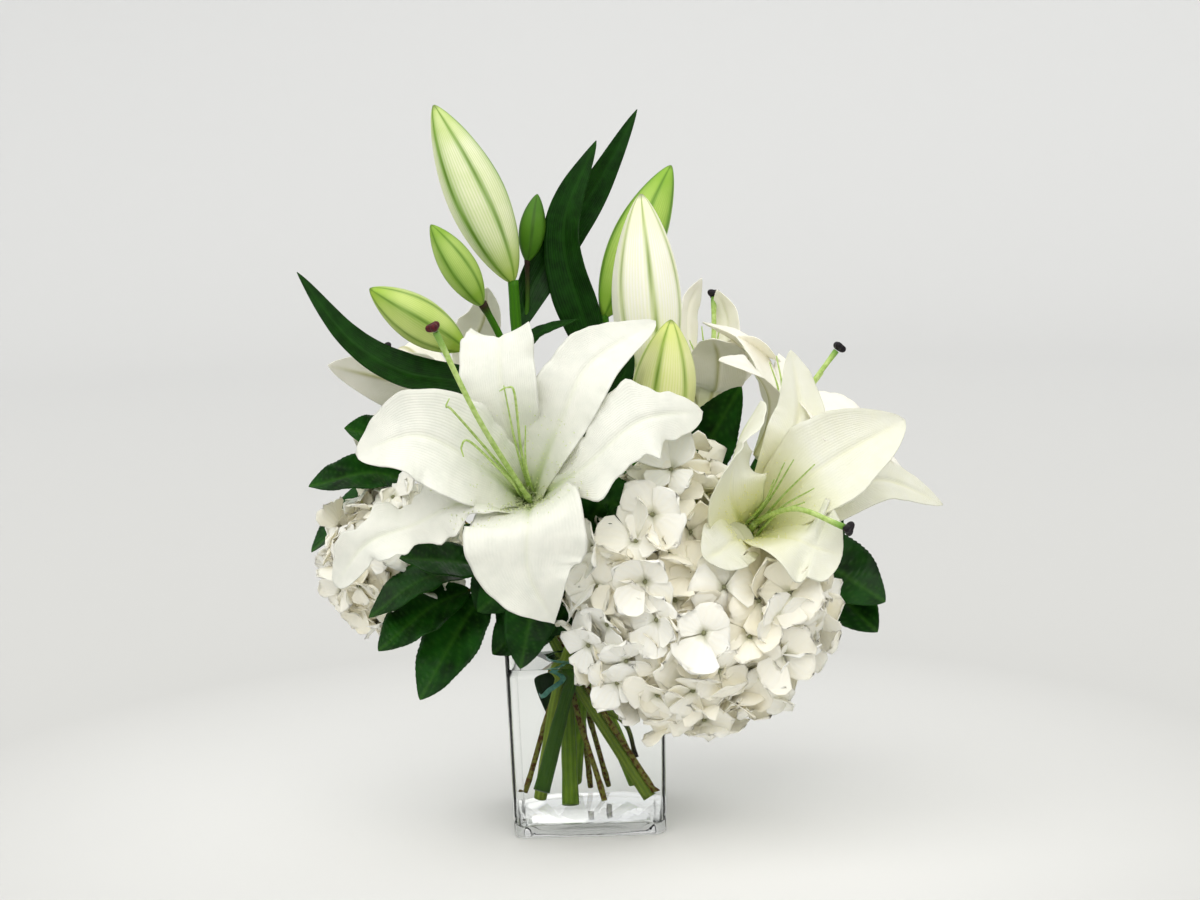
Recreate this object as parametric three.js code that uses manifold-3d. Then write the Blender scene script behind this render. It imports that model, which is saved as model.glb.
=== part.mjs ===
// A bouquet in a square glass vase: five open lilies and seven buds on leafy stems, two
// mophead hydrangeas and five sprigs of leathery leaves, tied together and standing in water.
// Millimetres, +Z up. The origin is the middle of the vase's underside and the front faces -Y.

import * as THREE from "three";
import { mergeVertices } from "three/addons/utils/BufferGeometryUtils.js";
import Module from "manifold-3d";

// ---------------------------------------------------------------- driving dimensions

const GAP = 0.3; // kept between neighbouring pieces
const VASE = {
  foot: 98,
  rim: 104,
  height: 152,
  wall: 4,
  floor: 12,
  dome: 3,
  domeRings: [0.3, 0.6, 0.85],
  corner: 8,
  cornerSteps: 2,
};
const WATER_LEVEL = 110;
const TIE = { x: -8, y: 0, height: 103, band: 6, thickness: 2.4, press: 0.9, sides: 14 };

const PETAL_THICKNESS = 1.0;
const LEAF_THICKNESS = 0.8;
const PETAL_GRID = { front: { rows: 5, cols: 4 }, back: { rows: 5, cols: 2 } };
const LEAF_GRID = { lily: { rows: 5, cols: 2 }, sprig: { rows: 4, cols: 2 } };

const LILY_STEM = 4.2;
const HYDRANGEA_STEM = 3.4;
const SPRIG_STEM = 1.8;
const TWIG = { radius: 1.1, share: 0.25, overlap: 0.02 }; // shares of a sprig leaf's route
const STALK = { stout: 3, flower: 2.6, bud: 2.4, dark: 1.5 };

// Sides and steps of the rods.
const FACETS = {
  fleshy: { sides: 5, steps: 7 },
  woody: { sides: 4, steps: 7 },
  stalk: { sides: 4, steps: 3 },
  twig: { sides: 4, steps: 1 },
  receptacle: { sides: 8, steps: 1 },
  ovary: { sides: 5, steps: 1 },
  style: { sides: 5, steps: 4 },
  filament: { sides: 3, steps: 2 },
};

// Each stem's knots: its foot, the tie, the collar under the rim, then its head.
const STEMS = {
  lily_stem_1: {
    radius: LILY_STEM,
    knots: [[18, 14, 22], [-5, 4, 103], [-20, -4, 165], [-31, -6, 262], [-37, -5, 312], [-39, -5, 357]],
  },
  lily_stem_2: {
    radius: LILY_STEM,
    knots: [[-32, 20, 20], [-10, -2, 103], [6, 2, 165], [24, 4, 250], [21, 6, 292], [18, 5, 332]],
  },
  lily_stem_3: {
    radius: LILY_STEM,
    knots: [[-27, -16, 30], [-8, -8, 103], [24, -14, 160], [72, -24, 186]],
  },
  lily_stem_4: {
    radius: LILY_STEM,
    knots: [[-2, -30, 17], [-10, 8, 103], [-8, 24, 165], [-12, 36, 235]],
  },
  hydrangea_stem_1: {
    radius: HYDRANGEA_STEM,
    knots: [[-12, 34, 15.6], [-12, -6, 103], [18, -32, 160], [62, -68, 170]],
  },
  hydrangea_stem_2: {
    radius: HYDRANGEA_STEM,
    knots: [[32, 0, 20], [-2, 2, 103], [-34, -6, 160], [-104, -32, 184]],
  },
  salal_sprig_1: {
    radius: SPRIG_STEM,
    knots: [[24, 30, 15], [-8, 10, 103], [-32, -28, 160], [-52, -48, 172]],
  },
  salal_sprig_2: {
    radius: SPRIG_STEM,
    knots: [[36, -16, 24], [0, 0, 103], [-36, 8, 160], [-92, -4, 214]],
  },
  salal_sprig_3: {
    radius: SPRIG_STEM,
    knots: [[-38, 2, 20], [-14, 0, 103], [36, 0, 160], [112, -14, 178]],
  },
  salal_sprig_4: {
    radius: SPRIG_STEM,
    knots: [[-16, 12, 15.8], [-12, 12, 103], [-8, -36, 160], [-12, -52, 176]],
  },
  salal_sprig_5: {
    radius: SPRIG_STEM,
    knots: [[8, -38, 18], [-4, 10, 103], [14, 38, 160], [30, 52, 226]],
  },
};
// How the stems are moved clear of each other: rounds of pushing, samples on each route, the room
// left between two, the pull towards the tie, the number of knots that may move, and the room
// left beside the glass.
const SPREAD = { rounds: 400, samples: 40, gap: 0.6, pull: 0.12, moved: 3, beside: 1 };
const ROUTE_SAMPLES = 200;

// Flower stalks by stem: the height that each grows from, and its knots from there outwards.
const STALKS = {
  lily_stem_1: [
    { from: 184, radius: STALK.flower, knots: [[-25, -32, 200], [-28, -60, 218]] },
    { from: 284, radius: STALK.bud, knots: [[-47, -18, 320], [-58, -30, 345]] },
    { from: 258, radius: STALK.flower, knots: [[-53, -25, 295], [-70, -40, 319]] },
    { from: 306, radius: STALK.dark, knots: [[-31, 8, 338], [-30, 12, 369]] },
  ],
  lily_stem_2: [
    { from: 228, radius: STALK.stout, knots: [[39, -12, 256], [49, -29, 284]] },
    { from: 205, radius: STALK.stout, knots: [[36, -24, 222], [47, -50, 248]] },
  ],
  lily_stem_3: [
    { from: 184, radius: STALK.flower, knots: [[84, -38, 187], [98, -49, 190]] },
    { from: 180, radius: STALK.flower, knots: [[94, -12, 204], [117, 0, 235]] },
  ],
  lily_stem_4: [
    { from: 232, radius: STALK.flower, knots: [[-42, 26, 264], [-70, 10, 279]] },
    { from: 205, radius: STALK.flower, knots: [[36, 42, 228], [83, 30, 252]] },
  ],
};

// A fully open flower whose tepals stand evenly round its axis and roll back at their tips:
// each knot is so far along the axis and so far away from it.
const EVEN_FLOWER = { along: [42, 54, 50], away: [26, 54, 84], widths: { outer: 32, inner: 44 } };

// Open lilies. A tepal's knots lead from the throat outwards, and its width is across its widest
// part. A bloom without a list of tepals is an even flower with its first tepal towards `first`.
const BLOOMS = {
  lily_a: {
    facing: "front",
    seat: [-28, -60, 218],
    axis: [-0.15, -0.89, 0.43],
    tube: 27,
    tepals: [
      { knots: [[-44, -110, 293], [-46, -96, 329], [-44, -66, 318]], width: 46, wave: 1.5 },
      { knots: [[-6, -112, 280], [14, -106, 311], [50, -70, 334]], width: 58, wave: 1 },
      { knots: [[2, -124, 262], [38, -128, 285], [76, -108, 282]], width: 46, wave: 3 },
      { knots: [[-26, -136, 222], [-20, -142, 192], [-19, -134, 160]], width: 74, wave: 1 },
      { knots: [[-64, -124, 234], [-98, -128, 222], [-148, -120, 184]], width: 38, wave: 3 },
      { knots: [[-62, -120, 258], [-95, -128, 276], [-133, -117, 264]], width: 60, wave: 1 },
    ],
    style: [[-57, -140, 285], [-80, -150, 339]],
    filaments: [
      [-42, -138, 305], [-36, -132, 299], [-72, -141, 291],
      [-63, -142, 273], [-30, -139, 281], [-52, -143, 262],
    ],
  },
  lily_b: {
    facing: "front",
    seat: [99, -50, 189],
    axis: [0.33, -0.74, 0.59],
    tube: 24,
    tepals: [
      { knots: [[128, -78, 250], [138, -68, 276], [134, -54, 312]], width: 36, wave: 1 },
      { knots: [[138, -94, 236], [164, -88, 252], [203, -69, 268]], width: 58, wave: 1 },
      { knots: [[146, -72, 218], [190, -50, 228], [231, -35, 208]], width: 36, wave: 2 },
      { knots: [[128, -112, 204], [142, -118, 199], [158, -116, 193]], width: 58, wave: 1 },
      { knots: [[100, -100, 196], [100, -112, 190], [104, -122, 186]], width: 30, wave: 1 },
      { knots: [[93, -108, 240], [96, -108, 264], [112, -92, 286]], width: 52, wave: 1 },
    ],
    style: [[131, -108, 221], [158, -130, 213]],
    filaments: [
      [125, -105, 249], [131, -100, 250], [143, -108, 248],
      [142, -112, 234], [118, -112, 240], [136, -114, 226],
    ],
  },
  lily_c: {
    facing: "back",
    seat: [117, 0, 235],
    axis: [0.57, -0.12, 0.81],
    tube: 22,
    first: [0, 1, 0.3],
    style: [[151, -14, 286], [167, -10, 306]],
    filaments: [
      [124, -12, 300], [149, -22, 284], [160, 6, 290],
      [146, 14, 296], [130, 8, 302], [136, -22, 292],
    ],
  },
  lily_d: {
    facing: "back",
    seat: [-70, 10, 279],
    axis: [-0.62, 0.72, 0.3],
    tube: 22,
    tepals: [
      { knots: [[-98, 12, 288], [-122, 2, 295], [-160, -6, 306]], width: 42, wave: 1 },
      { knots: [[-100, 38, 300], [-114, 44, 310], [-124, 48, 302]], width: 30, wave: 1 },
      { knots: [[-74, 42, 304], [-62, 40, 328], [-58, 36, 350]], width: 38, wave: 1 },
      { knots: [[-76, 58, 282], [-60, 74, 286], [-44, 78, 276]], width: 46, wave: 1 },
      { knots: [[-84, 42, 266], [-82, 54, 248], [-90, 50, 228]], width: 32, wave: 1 },
      { knots: [[-108, 22, 268], [-130, 8, 258], [-146, -10, 262]], width: 34, wave: 1 },
    ],
    style: [[-104, 50, 290], [-128, 76, 306]],
    filaments: [
      [-112, 44, 306], [-98, 58, 306], [-94, 62, 288],
      [-104, 56, 276], [-114, 46, 278], [-118, 42, 292],
    ],
  },
  lily_e: {
    facing: "back",
    seat: [83, 30, 252],
    axis: [0.1, 0.5, 0.86],
    tube: 22,
    tepals: [
      { knots: [[91, 24, 282], [92, 12, 304], [88, -8, 316]], width: 40, wave: 1 },
      { knots: [[100, 38, 286], [118, 30, 302], [134, 26, 296]], width: 42, wave: 1 },
      { knots: [[98, 62, 290], [102, 78, 318], [96, 82, 340]], width: 30, wave: 1 },
      { knots: [[88, 74, 284], [88, 98, 300], [86, 116, 292]], width: 44, wave: 1 },
      { knots: [[76, 60, 292], [76, 76, 326], [86, 84, 348]], width: 30, wave: 1 },
      { knots: [[68, 38, 286], [54, 34, 302], [40, 32, 306]], width: 42, wave: 1 },
    ],
    style: [[92, 66, 306], [94, 88, 334]],
    filaments: [
      [84, 56, 318], [96, 54, 316], [104, 62, 304],
      [76, 64, 308], [84, 74, 304], [98, 74, 304],
    ],
  },
};
// Tepals by whorl: how far from the axis each has its root and leaves the flower's narrow base,
// which it does as a neck of even width, and the form of its spread part.
const TEPAL = {
  outer: {
    root: 5.5, throat: 11, neck: 0.25, neckHalf: 6.5, fullness: 0.8, bias: 0.95, cup: 0.05, rolled: 0.4,
  },
  inner: {
    root: 3, throat: 7, neck: 0.25, neckHalf: 5.5, fullness: 0.8, bias: 1, cup: 0.2, rolled: 0.4,
  },
};
const BLADE = { rootHalf: 1.5, tipHalf: 0.6, neckHalf: 1.5, waves: 2.5 };
const RECEPTACLE = { radius: 6.5, length: 6, sunk: 1, tepals: 2 };
const PISTIL = { ovary: 2.2, ovaryLength: 24, style: 1.9, start: RECEPTACLE.length + 2 * GAP };
const FILAMENT = { radius: 1.0, root: 2, leaving: { along: 13, away: 5 }, bend: 0.45 };
const STIGMA = { radius: 4, squash: 0.7, lobe: 0.25, sides: 9, rings: 4 };

// Closed buds, from the stalk to the tip.
const BUDS = {
  bud_1: { base: [-39, -5, 355], tip: [-85, -15, 470], radius: 18.5 },
  bud_2: { base: [-58, -30, 343], tip: [-88, -40, 396], radius: 11 },
  bud_3: { base: [-30, 12, 367], tip: [-22, 15, 411], radius: 8.5 },
  bud_4: { base: [-69, -40, 317], tip: [-127, -50, 358], radius: 14.5 },
  bud_5: { base: [18, 5, 330], tip: [65, 15, 427], radius: 17 },
  bud_6: { base: [49, -29, 282], tip: [44, -25, 411], radius: 22 },
  bud_7: { base: [47, -50, 246], tip: [60, -60, 334], radius: 20 },
};
const BUD = { rings: 6, sides: 12, ridge: 0.05, groove: 0.03, bias: 0.92, fullness: 0.72 };

// Hydrangea heads: an inner core with four-lobed florets standing out all round it. No florets
// grow inside the bare ball, where a lily stands in the head.
const HEADS = {
  hydrangea_head_1: {
    centre: [70, -88, 170],
    semi: [84, 58, 90],
    florets: 34,
    lobe: 25,
    seed: 11,
    bare: { at: [114, -78, 206], radius: 44 },
  },
  hydrangea_head_2: { centre: [-125, -24, 182], semi: [50, 40, 51], florets: 20, lobe: 17, seed: 23 },
};
const HEAD = { core: 0.62, raised: 0.98, sunk: 0.9, uneven: 0.02, lean: 0.1, root: 5 };
const FLORET = { notch: 0.5, spread: 0.42, dome: 0.5, cup: 0.14 };

// Lance-shaped lily leaves by stem: the height that each grows from, then its knots.
const LILY_LEAVES = {
  lily_stem_2: [
    {
      from: 286, width: 26, wave: 1.5, face: [-0.5, -1, 0],
      knots: [[6, 8, 328], [-6, 10, 388], [17, 10, 444]],
    },
    {
      from: 236, width: 20, wave: 1, face: [0, -0.8, 0.5],
      knots: [[-2, -20, 250], [-6, -42, 262]],
    },
    {
      from: 214, width: 20, wave: 1, face: [0, -0.7, 0.6],
      knots: [[30, -14, 206], [22, -50, 214], [36, -66, 207]],
    },
  ],
  lily_stem_1: [
    {
      from: 322, width: 23, wave: 1, face: [0.2, -1, 0.2],
      knots: [[-27, 16, 350], [-6, 22, 384], [16, 24, 414], [44, 24, 463]],
    },
    {
      from: 272, width: 24, wave: 1, face: [0.1, -0.8, 0.5],
      knots: [[-66, -24, 293], [-108, -32, 303], [-143, -32, 326], [-174, -30, 368]],
    },
    {
      from: 308, width: 9, wave: 0, face: [0, -0.6, 0.8],
      knots: [[-24, -2, 322], [2, -8, 331]],
    },
  ],
  lily_stem_4: [
    {
      from: 216, width: 24, wave: 1, face: [0, -0.4, 1],
      knots: [[-26, 66, 244], [-40, 92, 240], [-52, 112, 222]],
    },
    {
      from: 226, width: 24, wave: 1, face: [0, -0.4, 1],
      knots: [[12, 66, 252], [30, 96, 256], [44, 122, 240]],
    },
  ],
};
const LILY_LEAF = { thickness: LEAF_THICKNESS, fullness: 0.8, bias: 0.9, cup: 0.25 };

// Broad leathery leaves by sprig, in the same form, each with a short bare twig.
const SPRIG_LEAVES = {
  salal_sprig_1: [
    { from: 172, width: 38, face: [-0.4, -0.8, 0.5], knots: [[-74, -66, 150], [-104, -76, 101]] },
    { from: 171, width: 32, face: [-0.3, -0.7, 0.6], knots: [[-92, -66, 160], [-128, -84, 135]] },
    { from: 169, width: 24, face: [-0.2, -0.6, 0.8], knots: [[-94, -66, 178], [-133, -82, 156]] },
    { from: 167, width: 26, face: [-0.1, -0.7, 0.7], knots: [[-76, -66, 186], [-112, -88, 194]] },
  ],
  salal_sprig_4: [
    { from: 176, width: 30, face: [-0.2, -0.9, 0.3], knots: [[-30, -62, 152], [-58, -64, 126]] },
    { from: 175, width: 30, face: [0.2, -1, 0.2], knots: [[-6, -64, 164], [-22, -68, 138]] },
    { from: 173, width: 22, face: [0, -1, 0.3], knots: [[-14, -60, 186], [10, -66, 196]] },
  ],
  salal_sprig_2: [
    { from: 214, width: 26, face: [0, -0.7, 0.7], knots: [[-128, -26, 238], [-170, -54, 235]] },
    { from: 212, width: 24, face: [0, -0.8, 0.5], knots: [[-120, -22, 256], [-147, -44, 270]] },
    { from: 208, width: 26, face: [-0.3, -0.5, 0.8], knots: [[-136, 24, 216], [-175, -16, 186]] },
    { from: 204, width: 34, face: [0, 0.4, 0.9], knots: [[-96, 34, 212], [-112, 66, 198]] },
  ],
  salal_sprig_3: [
    { from: 178, width: 42, face: [0.1, -0.8, 0.6], knots: [[152, -26, 172], [193, -40, 147]] },
    { from: 177, width: 42, face: [0.1, -0.8, 0.5], knots: [[150, -8, 160], [188, -38, 127]] },
    { from: 176, width: 28, face: [0.2, -0.9, 0.4], knots: [[142, -18, 204], [168, -30, 184]] },
    { from: 174, width: 40, face: [0, 0.4, 0.9], knots: [[120, 26, 180], [142, 60, 168]] },
  ],
  salal_sprig_5: [
    { from: 226, width: 36, face: [-0.2, -0.9, 0.3], knots: [[70, 6, 232], [105, -22, 286]] },
    { from: 218, width: 42, face: [0, 0.3, 1], knots: [[66, 72, 216], [104, 88, 202]] },
    { from: 206, width: 44, face: [0, 0.3, 1], knots: [[16, 84, 196], [8, 118, 174]] },
    { from: 194, width: 42, face: [0, 0.3, 1], knots: [[-20, 74, 184], [-52, 96, 164]] },
  ],
};
const SPRIG_LEAF = {
  thickness: LEAF_THICKNESS, start: TWIG.share, fullness: 0.65, bias: 1, cup: 0.15, wave: 1.2, waves: 3,
};

const FINISHES = {
  glass: { color: 0xe6eeec, roughness: 0.05, metalness: 0, transparent: true, opacity: 0.3 },
  water: { color: 0xeef4f1, roughness: 0.02, metalness: 0, transparent: true, opacity: 0.3 },
  tie: { color: 0x4f8f7c, roughness: 0.5, metalness: 0 },
  stem: { color: 0x6f9140, roughness: 0.6, metalness: 0 },
  foliage: { color: 0x1d4d1c, roughness: 0.45, metalness: 0 },
  petal: { color: 0xf4f5f1, roughness: 0.6, metalness: 0 },
  pistil: { color: 0x9bb85a, roughness: 0.5, metalness: 0 },
  stigma: { color: 0x35141a, roughness: 0.6, metalness: 0 },
  bud: { color: 0xcbdb9c, roughness: 0.5, metalness: 0 },
  floret: { color: 0xf3f0e6, roughness: 0.7, metalness: 0 },
};

// ---------------------------------------------------------------- vectors and solids

const wasm = await Module();
wasm.setup();

const UP = new THREE.Vector3(0, 0, 1);
const SIDEWAYS = new THREE.Vector3(1, 0, 0);
const MERGE_WITHIN = 1e-4;
const NO_LENGTH = 1e-6;

/** A point or direction from a list. */
const vector = (xyz) => new THREE.Vector3(...xyz);

/** The unit direction of what is left of a direction across an axis. */
const across = (direction, axis) =>
  direction.clone().addScaledVector(axis, -direction.dot(axis)).normalize();

/** The smooth route through a list of points. */
const route = (points) => new THREE.CatmullRomCurve3(points, false, "catmullrom", 0.5);

/** The turn that brings the Y axis to a unit direction. */
const turnTo = (direction) =>
  new THREE.Quaternion().setFromUnitVectors(new THREE.Vector3(0, 1, 0), direction);

/** A solid from a closed geometry whose shared vertices are not merged yet. */
function solidOf(geometry) {
  const bare = geometry.clone();
  bare.deleteAttribute("normal");
  bare.deleteAttribute("uv");
  const merged = mergeVertices(bare, MERGE_WITHIN);
  const faces = [];
  for (let i = 0; i < merged.index.count; i += 3) {
    const [a, b, c] = [0, 1, 2].map((k) => merged.index.getX(i + k));
    if (a !== b && b !== c && c !== a) faces.push(a, b, c);
  }
  const vertProperties = new Float32Array(merged.attributes.position.array);
  const built = (corners) =>
    new wasm.Manifold(new wasm.Mesh({ numProp: 3, vertProperties, triVerts: new Uint32Array(corners) }));
  const solid = built(faces);
  return solid.volume() > 0 ? solid : built(faces.reverse());
}

/** A solid from its points and the corner numbers of its faces. */
function solidFrom(points, faces) {
  const geometry = new THREE.BufferGeometry().setFromPoints(points);
  geometry.setIndex(faces);
  return solidOf(geometry);
}

/** Solids joined into one. */
const fuse = (solids) => solids.reduce((whole, next) => whole.add(next));

/** The largest of the bodies that a cut has left. */
const largest = (solid) =>
  solid.decompose().reduce((best, next) => (next.volume() > best.volume() ? next : best));

/** Repeatable random numbers from 0 to 1, by multiplying and taking the rest. */
function dice(seed) {
  const factor = 7 ** 5;
  const modulus = 2 ** 31 - 1;
  let state = seed;
  return () => {
    state = (state * factor) % modulus;
    return state / modulus;
  };
}

// ---------------------------------------------------------------- basic forms

/** A skin stretched over rings of points, closed at both ends by fans. */
function loft(rings) {
  const count = rings[0].length;
  const points = rings.flat();
  const faces = [];
  for (let r = 0; r + 1 < rings.length; r++)
    for (let k = 0; k < count; k++) {
      const a = r * count + k;
      const b = r * count + ((k + 1) % count);
      faces.push(a, b, b + count, a, b + count, a + count);
    }
  for (const [ring, first] of [[rings[0], 0], [rings.at(-1), (rings.length - 1) * count]]) {
    const middle = ring.reduce((sum, p) => sum.add(p), new THREE.Vector3()).divideScalar(count);
    const hub = points.push(middle) - 1;
    for (let k = 0; k < count; k++) {
      const a = first + k;
      const b = first + ((k + 1) % count);
      faces.push(...(first ? [hub, a, b] : [hub, b, a]));
    }
  }
  return solidFrom(points, faces);
}

/** A level square ring with round corners. */
function squareRing(half, corner, height) {
  const inset = (half - corner) * Math.SQRT2;
  const points = [];
  for (let side = 0; side < 4; side++)
    for (let step = 0; step <= VASE.cornerSteps; step++) {
      const turn = (Math.PI / 2) * (side + step / VASE.cornerSteps);
      const middle = (Math.PI / 2) * (side + 0.5);
      points.push(new THREE.Vector3(
        inset * Math.cos(middle) + corner * Math.cos(turn),
        inset * Math.sin(middle) + corner * Math.sin(turn),
        height,
      ));
    }
  return points;
}

/** A level round ring. */
const roundRing = (x, y, radius, height, sides) =>
  Array.from({ length: sides }, (_, k) => {
    const turn = (2 * Math.PI * k) / sides;
    return new THREE.Vector3(x + radius * Math.cos(turn), y + radius * Math.sin(turn), height);
  });

/** A round rod along a route. The swell thickens it and lengthens both its ends. */
function rod(points, radius, { sides, steps }, swell = 0) {
  const path = points.map((p) => p.clone());
  const longer = swell || NO_LENGTH;
  path[0].add(points[0].clone().sub(points[1]).setLength(longer));
  path.at(-1).add(points.at(-1).clone().sub(points.at(-2)).setLength(longer));
  const corners = Array.from({ length: sides }, (_, k) => {
    const turn = (2 * Math.PI * k) / sides;
    return new THREE.Vector2(Math.cos(turn), Math.sin(turn)).multiplyScalar(radius + swell);
  });
  const along = { steps, bevelEnabled: false, extrudePath: route(path) };
  return solidOf(new THREE.ExtrudeGeometry(new THREE.Shape(corners), along));
}

/**
 * A petal or leaf along a route, from its share `start` on. It is as wide as `neckHalf` each way
 * up to its share `neck`, and a sine bulge raised to `fullness` from there. Its edges are lifted by
 * `cup`, near the base also by `rolled`, and waved by `wave`. Both skins share one triangle split.
 * `side` fixes the direction across it, or else `face` says where it looks.
 */
function blade(leaf, swell = 0) {
  const { rows, cols, thickness } = leaf;
  const skins = [[], []];
  for (let i = 0; i <= rows; i++)
    for (const { point, front } of bladeRow(leaf, i, swell)) {
      skins[0].push(point.clone().addScaledVector(front, thickness / 2 + swell));
      skins[1].push(point.clone().addScaledVector(front, -thickness / 2 - swell));
    }
  const size = skins[0].length;
  const at = (i, j) => i * (cols + 1) + j;
  const faces = [];
  for (let i = 0; i < rows; i++)
    for (let j = 0; j < cols; j++) {
      const [a, b, c, d] = [at(i, j), at(i, j + 1), at(i + 1, j + 1), at(i + 1, j)];
      faces.push(a, b, c, a, c, d, size + a, size + c, size + b, size + a, size + d, size + c);
    }
  const rim = [];
  for (let j = 0; j < cols; j++) rim.push(at(0, j));
  for (let i = 0; i < rows; i++) rim.push(at(i, cols));
  for (let j = cols; j > 0; j--) rim.push(at(rows, j));
  for (let i = rows; i > 0; i--) rim.push(at(i, 0));
  rim.forEach((a, k) => {
    const b = rim[(k + 1) % rim.length];
    faces.push(a, size + a, size + b, a, size + b, b);
  });
  return solidFrom(skins.flat(), faces);
}

/** The points across a blade's middle surface at one row, each with where the blade looks there. */
function bladeRow(leaf, row, swell) {
  const { knots, side, face, width, rows, cols, start = 0, neck = 0, neckHalf = BLADE.neckHalf } = leaf;
  const { fullness, bias, cup, rolled = 0, wave, waves = BLADE.waves, phase } = leaf;
  const share = neck && row ? neck + ((1 - neck) * (row - 1)) / (rows - 1) : row / rows;
  const u = start + (1 - start) * share;
  const open = Math.max((share - neck) / (1 - neck), 0);
  const path = route(knots);
  const along = path.getTangent(u);
  const right = across(side ?? face.clone().cross(along), along);
  const front = along.clone().cross(right);
  const bulge = (width / 2) * Math.max(Math.sin(Math.PI * open ** bias), 0) ** fullness;
  const least = [BLADE.rootHalf, ...Array(rows - 1).fill(neckHalf), BLADE.tipHalf][row];
  const half = Math.max(bulge, least) + swell;
  const middle = path.getPoint(u).addScaledVector(along, swell * (2 * share - 1));
  return Array.from({ length: cols + 1 }, (_, j) => {
    const v = (2 * j) / cols - 1;
    const swing = Math.sin(2 * Math.PI * waves * share + phase + v) * Math.sin(Math.PI * share);
    const lift = (cup + rolled * (1 - share) ** 4) * half * v * v + wave * Math.abs(v) * swing;
    return { point: middle.clone().addScaledVector(right, half * v).addScaledVector(front, lift), front };
  });
}

// ---------------------------------------------------------------- stems

/** Stems as routes of knots in millimetres, moved until each pair is clear of the other. */
function spreadStems() {
  const list = Object.entries(STEMS).map(([name, { radius, knots }]) => ({
    name,
    radius,
    knots: knots.map(vector),
  }));
  for (let round = 0; round < SPREAD.rounds; round++) {
    const pull = SPREAD.pull * (1 - round / SPREAD.rounds);
    for (const { knots: [, tied] } of list) {
      tied.x += (TIE.x - tied.x) * pull;
      tied.y += (TIE.y - tied.y) * pull;
    }
    list.forEach((one, k) => list.slice(k + 1).forEach((other) => pushApart(one, other)));
    list.forEach(keepInVase);
  }
  return new Map(list.map((stem) => [stem.name, stem]));
}

/** Two stems pushed apart sideways where they come nearest. */
function pushApart(one, other) {
  const [a, b] = [one, other].map(({ knots }) => route(knots).getPoints(SPREAD.samples));
  let near = { distance: Infinity };
  a.forEach((p, i) => b.forEach((q, j) => {
    const distance = p.distanceTo(q);
    if (distance < near.distance) near = { distance, i, j };
  }));
  const lack = one.radius + other.radius + SPREAD.gap - near.distance;
  if (lack <= 0) return;
  const push = a[near.i].clone().sub(b[near.j]).setZ(0).setLength(lack / 2);
  shiftStem(one, near.i, push);
  shiftStem(other, near.j, push.negate());
}

/** The knots beside one sample moved, so that the sample itself moves by the push. */
function shiftStem({ knots }, sample, push) {
  const place = (sample / SPREAD.samples) * (knots.length - 1);
  const low = Math.min(Math.floor(place), knots.length - 2);
  const shares = [1 - (place - low), place - low];
  const whole = shares[0] ** 2 + shares[1] ** 2;
  shares.forEach((share, k) => {
    if (low + k < SPREAD.moved) knots[low + k].addScaledVector(push, share / whole);
  });
}

/** The lower knots of a stem held inside the glass. */
function keepInVase({ knots, radius }) {
  for (const knot of knots.slice(0, SPREAD.moved)) {
    const height = Math.min(knot.z, VASE.height);
    const limit = innerHalf(height) - radius - SPREAD.beside;
    knot.x = THREE.MathUtils.clamp(knot.x, -limit, limit);
    knot.y = THREE.MathUtils.clamp(knot.y, -limit, limit);
  }
}

/** Half the vase's inner width at a height. */
function innerHalf(height) {
  return (VASE.foot + ((VASE.rim - VASE.foot) * height) / VASE.height) / 2 - VASE.wall;
}

const stems = spreadStems();

/** The point of a stem's route at a height. */
const onStem = (name, height) =>
  route(stems.get(name).knots).getPoints(ROUTE_SAMPLES)
    .reduce((best, p) => (Math.abs(p.z - height) < Math.abs(best.z - height) ? p : best));

/** The knots of what grows from a stem, with its root on the stem first. */
const grownFrom = (name, { from, knots }) => [onStem(name, from), ...knots.map(vector)];

/** One stem with the stalks that grow from it. */
function stemWithStalks(name, swell) {
  const { knots, radius } = stems.get(name);
  const facets = radius < HYDRANGEA_STEM ? FACETS.woody : FACETS.fleshy;
  const stalks = (STALKS[name] ?? []).map((stalk) =>
    rod(grownFrom(name, stalk), stalk.radius, FACETS.stalk, swell));
  return fuse([rod(knots, radius, facets, swell), ...stalks]);
}

// ---------------------------------------------------------------- flowers

/** Where a bloom sits on its stalk, and the unit direction that it looks in. */
const poseOf = (bloom) => ({ seat: vector(bloom.seat), axis: vector(bloom.axis).normalize() });

/** The knots and widths of six even tepals, the first one towards a direction. */
function evenTepals(bloom) {
  const { seat, axis } = poseOf(bloom);
  return Array.from({ length: 6 }, (_, k) => {
    const away = across(vector(bloom.first), axis).applyAxisAngle(axis, (k * Math.PI) / 3);
    const knots = EVEN_FLOWER.along.map((along, i) =>
      seat.clone().addScaledVector(axis, along).addScaledVector(away, EVEN_FLOWER.away[i]).toArray());
    return { knots, width: EVEN_FLOWER.widths[k % 2 ? "inner" : "outer"], wave: 1 };
  });
}

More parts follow.
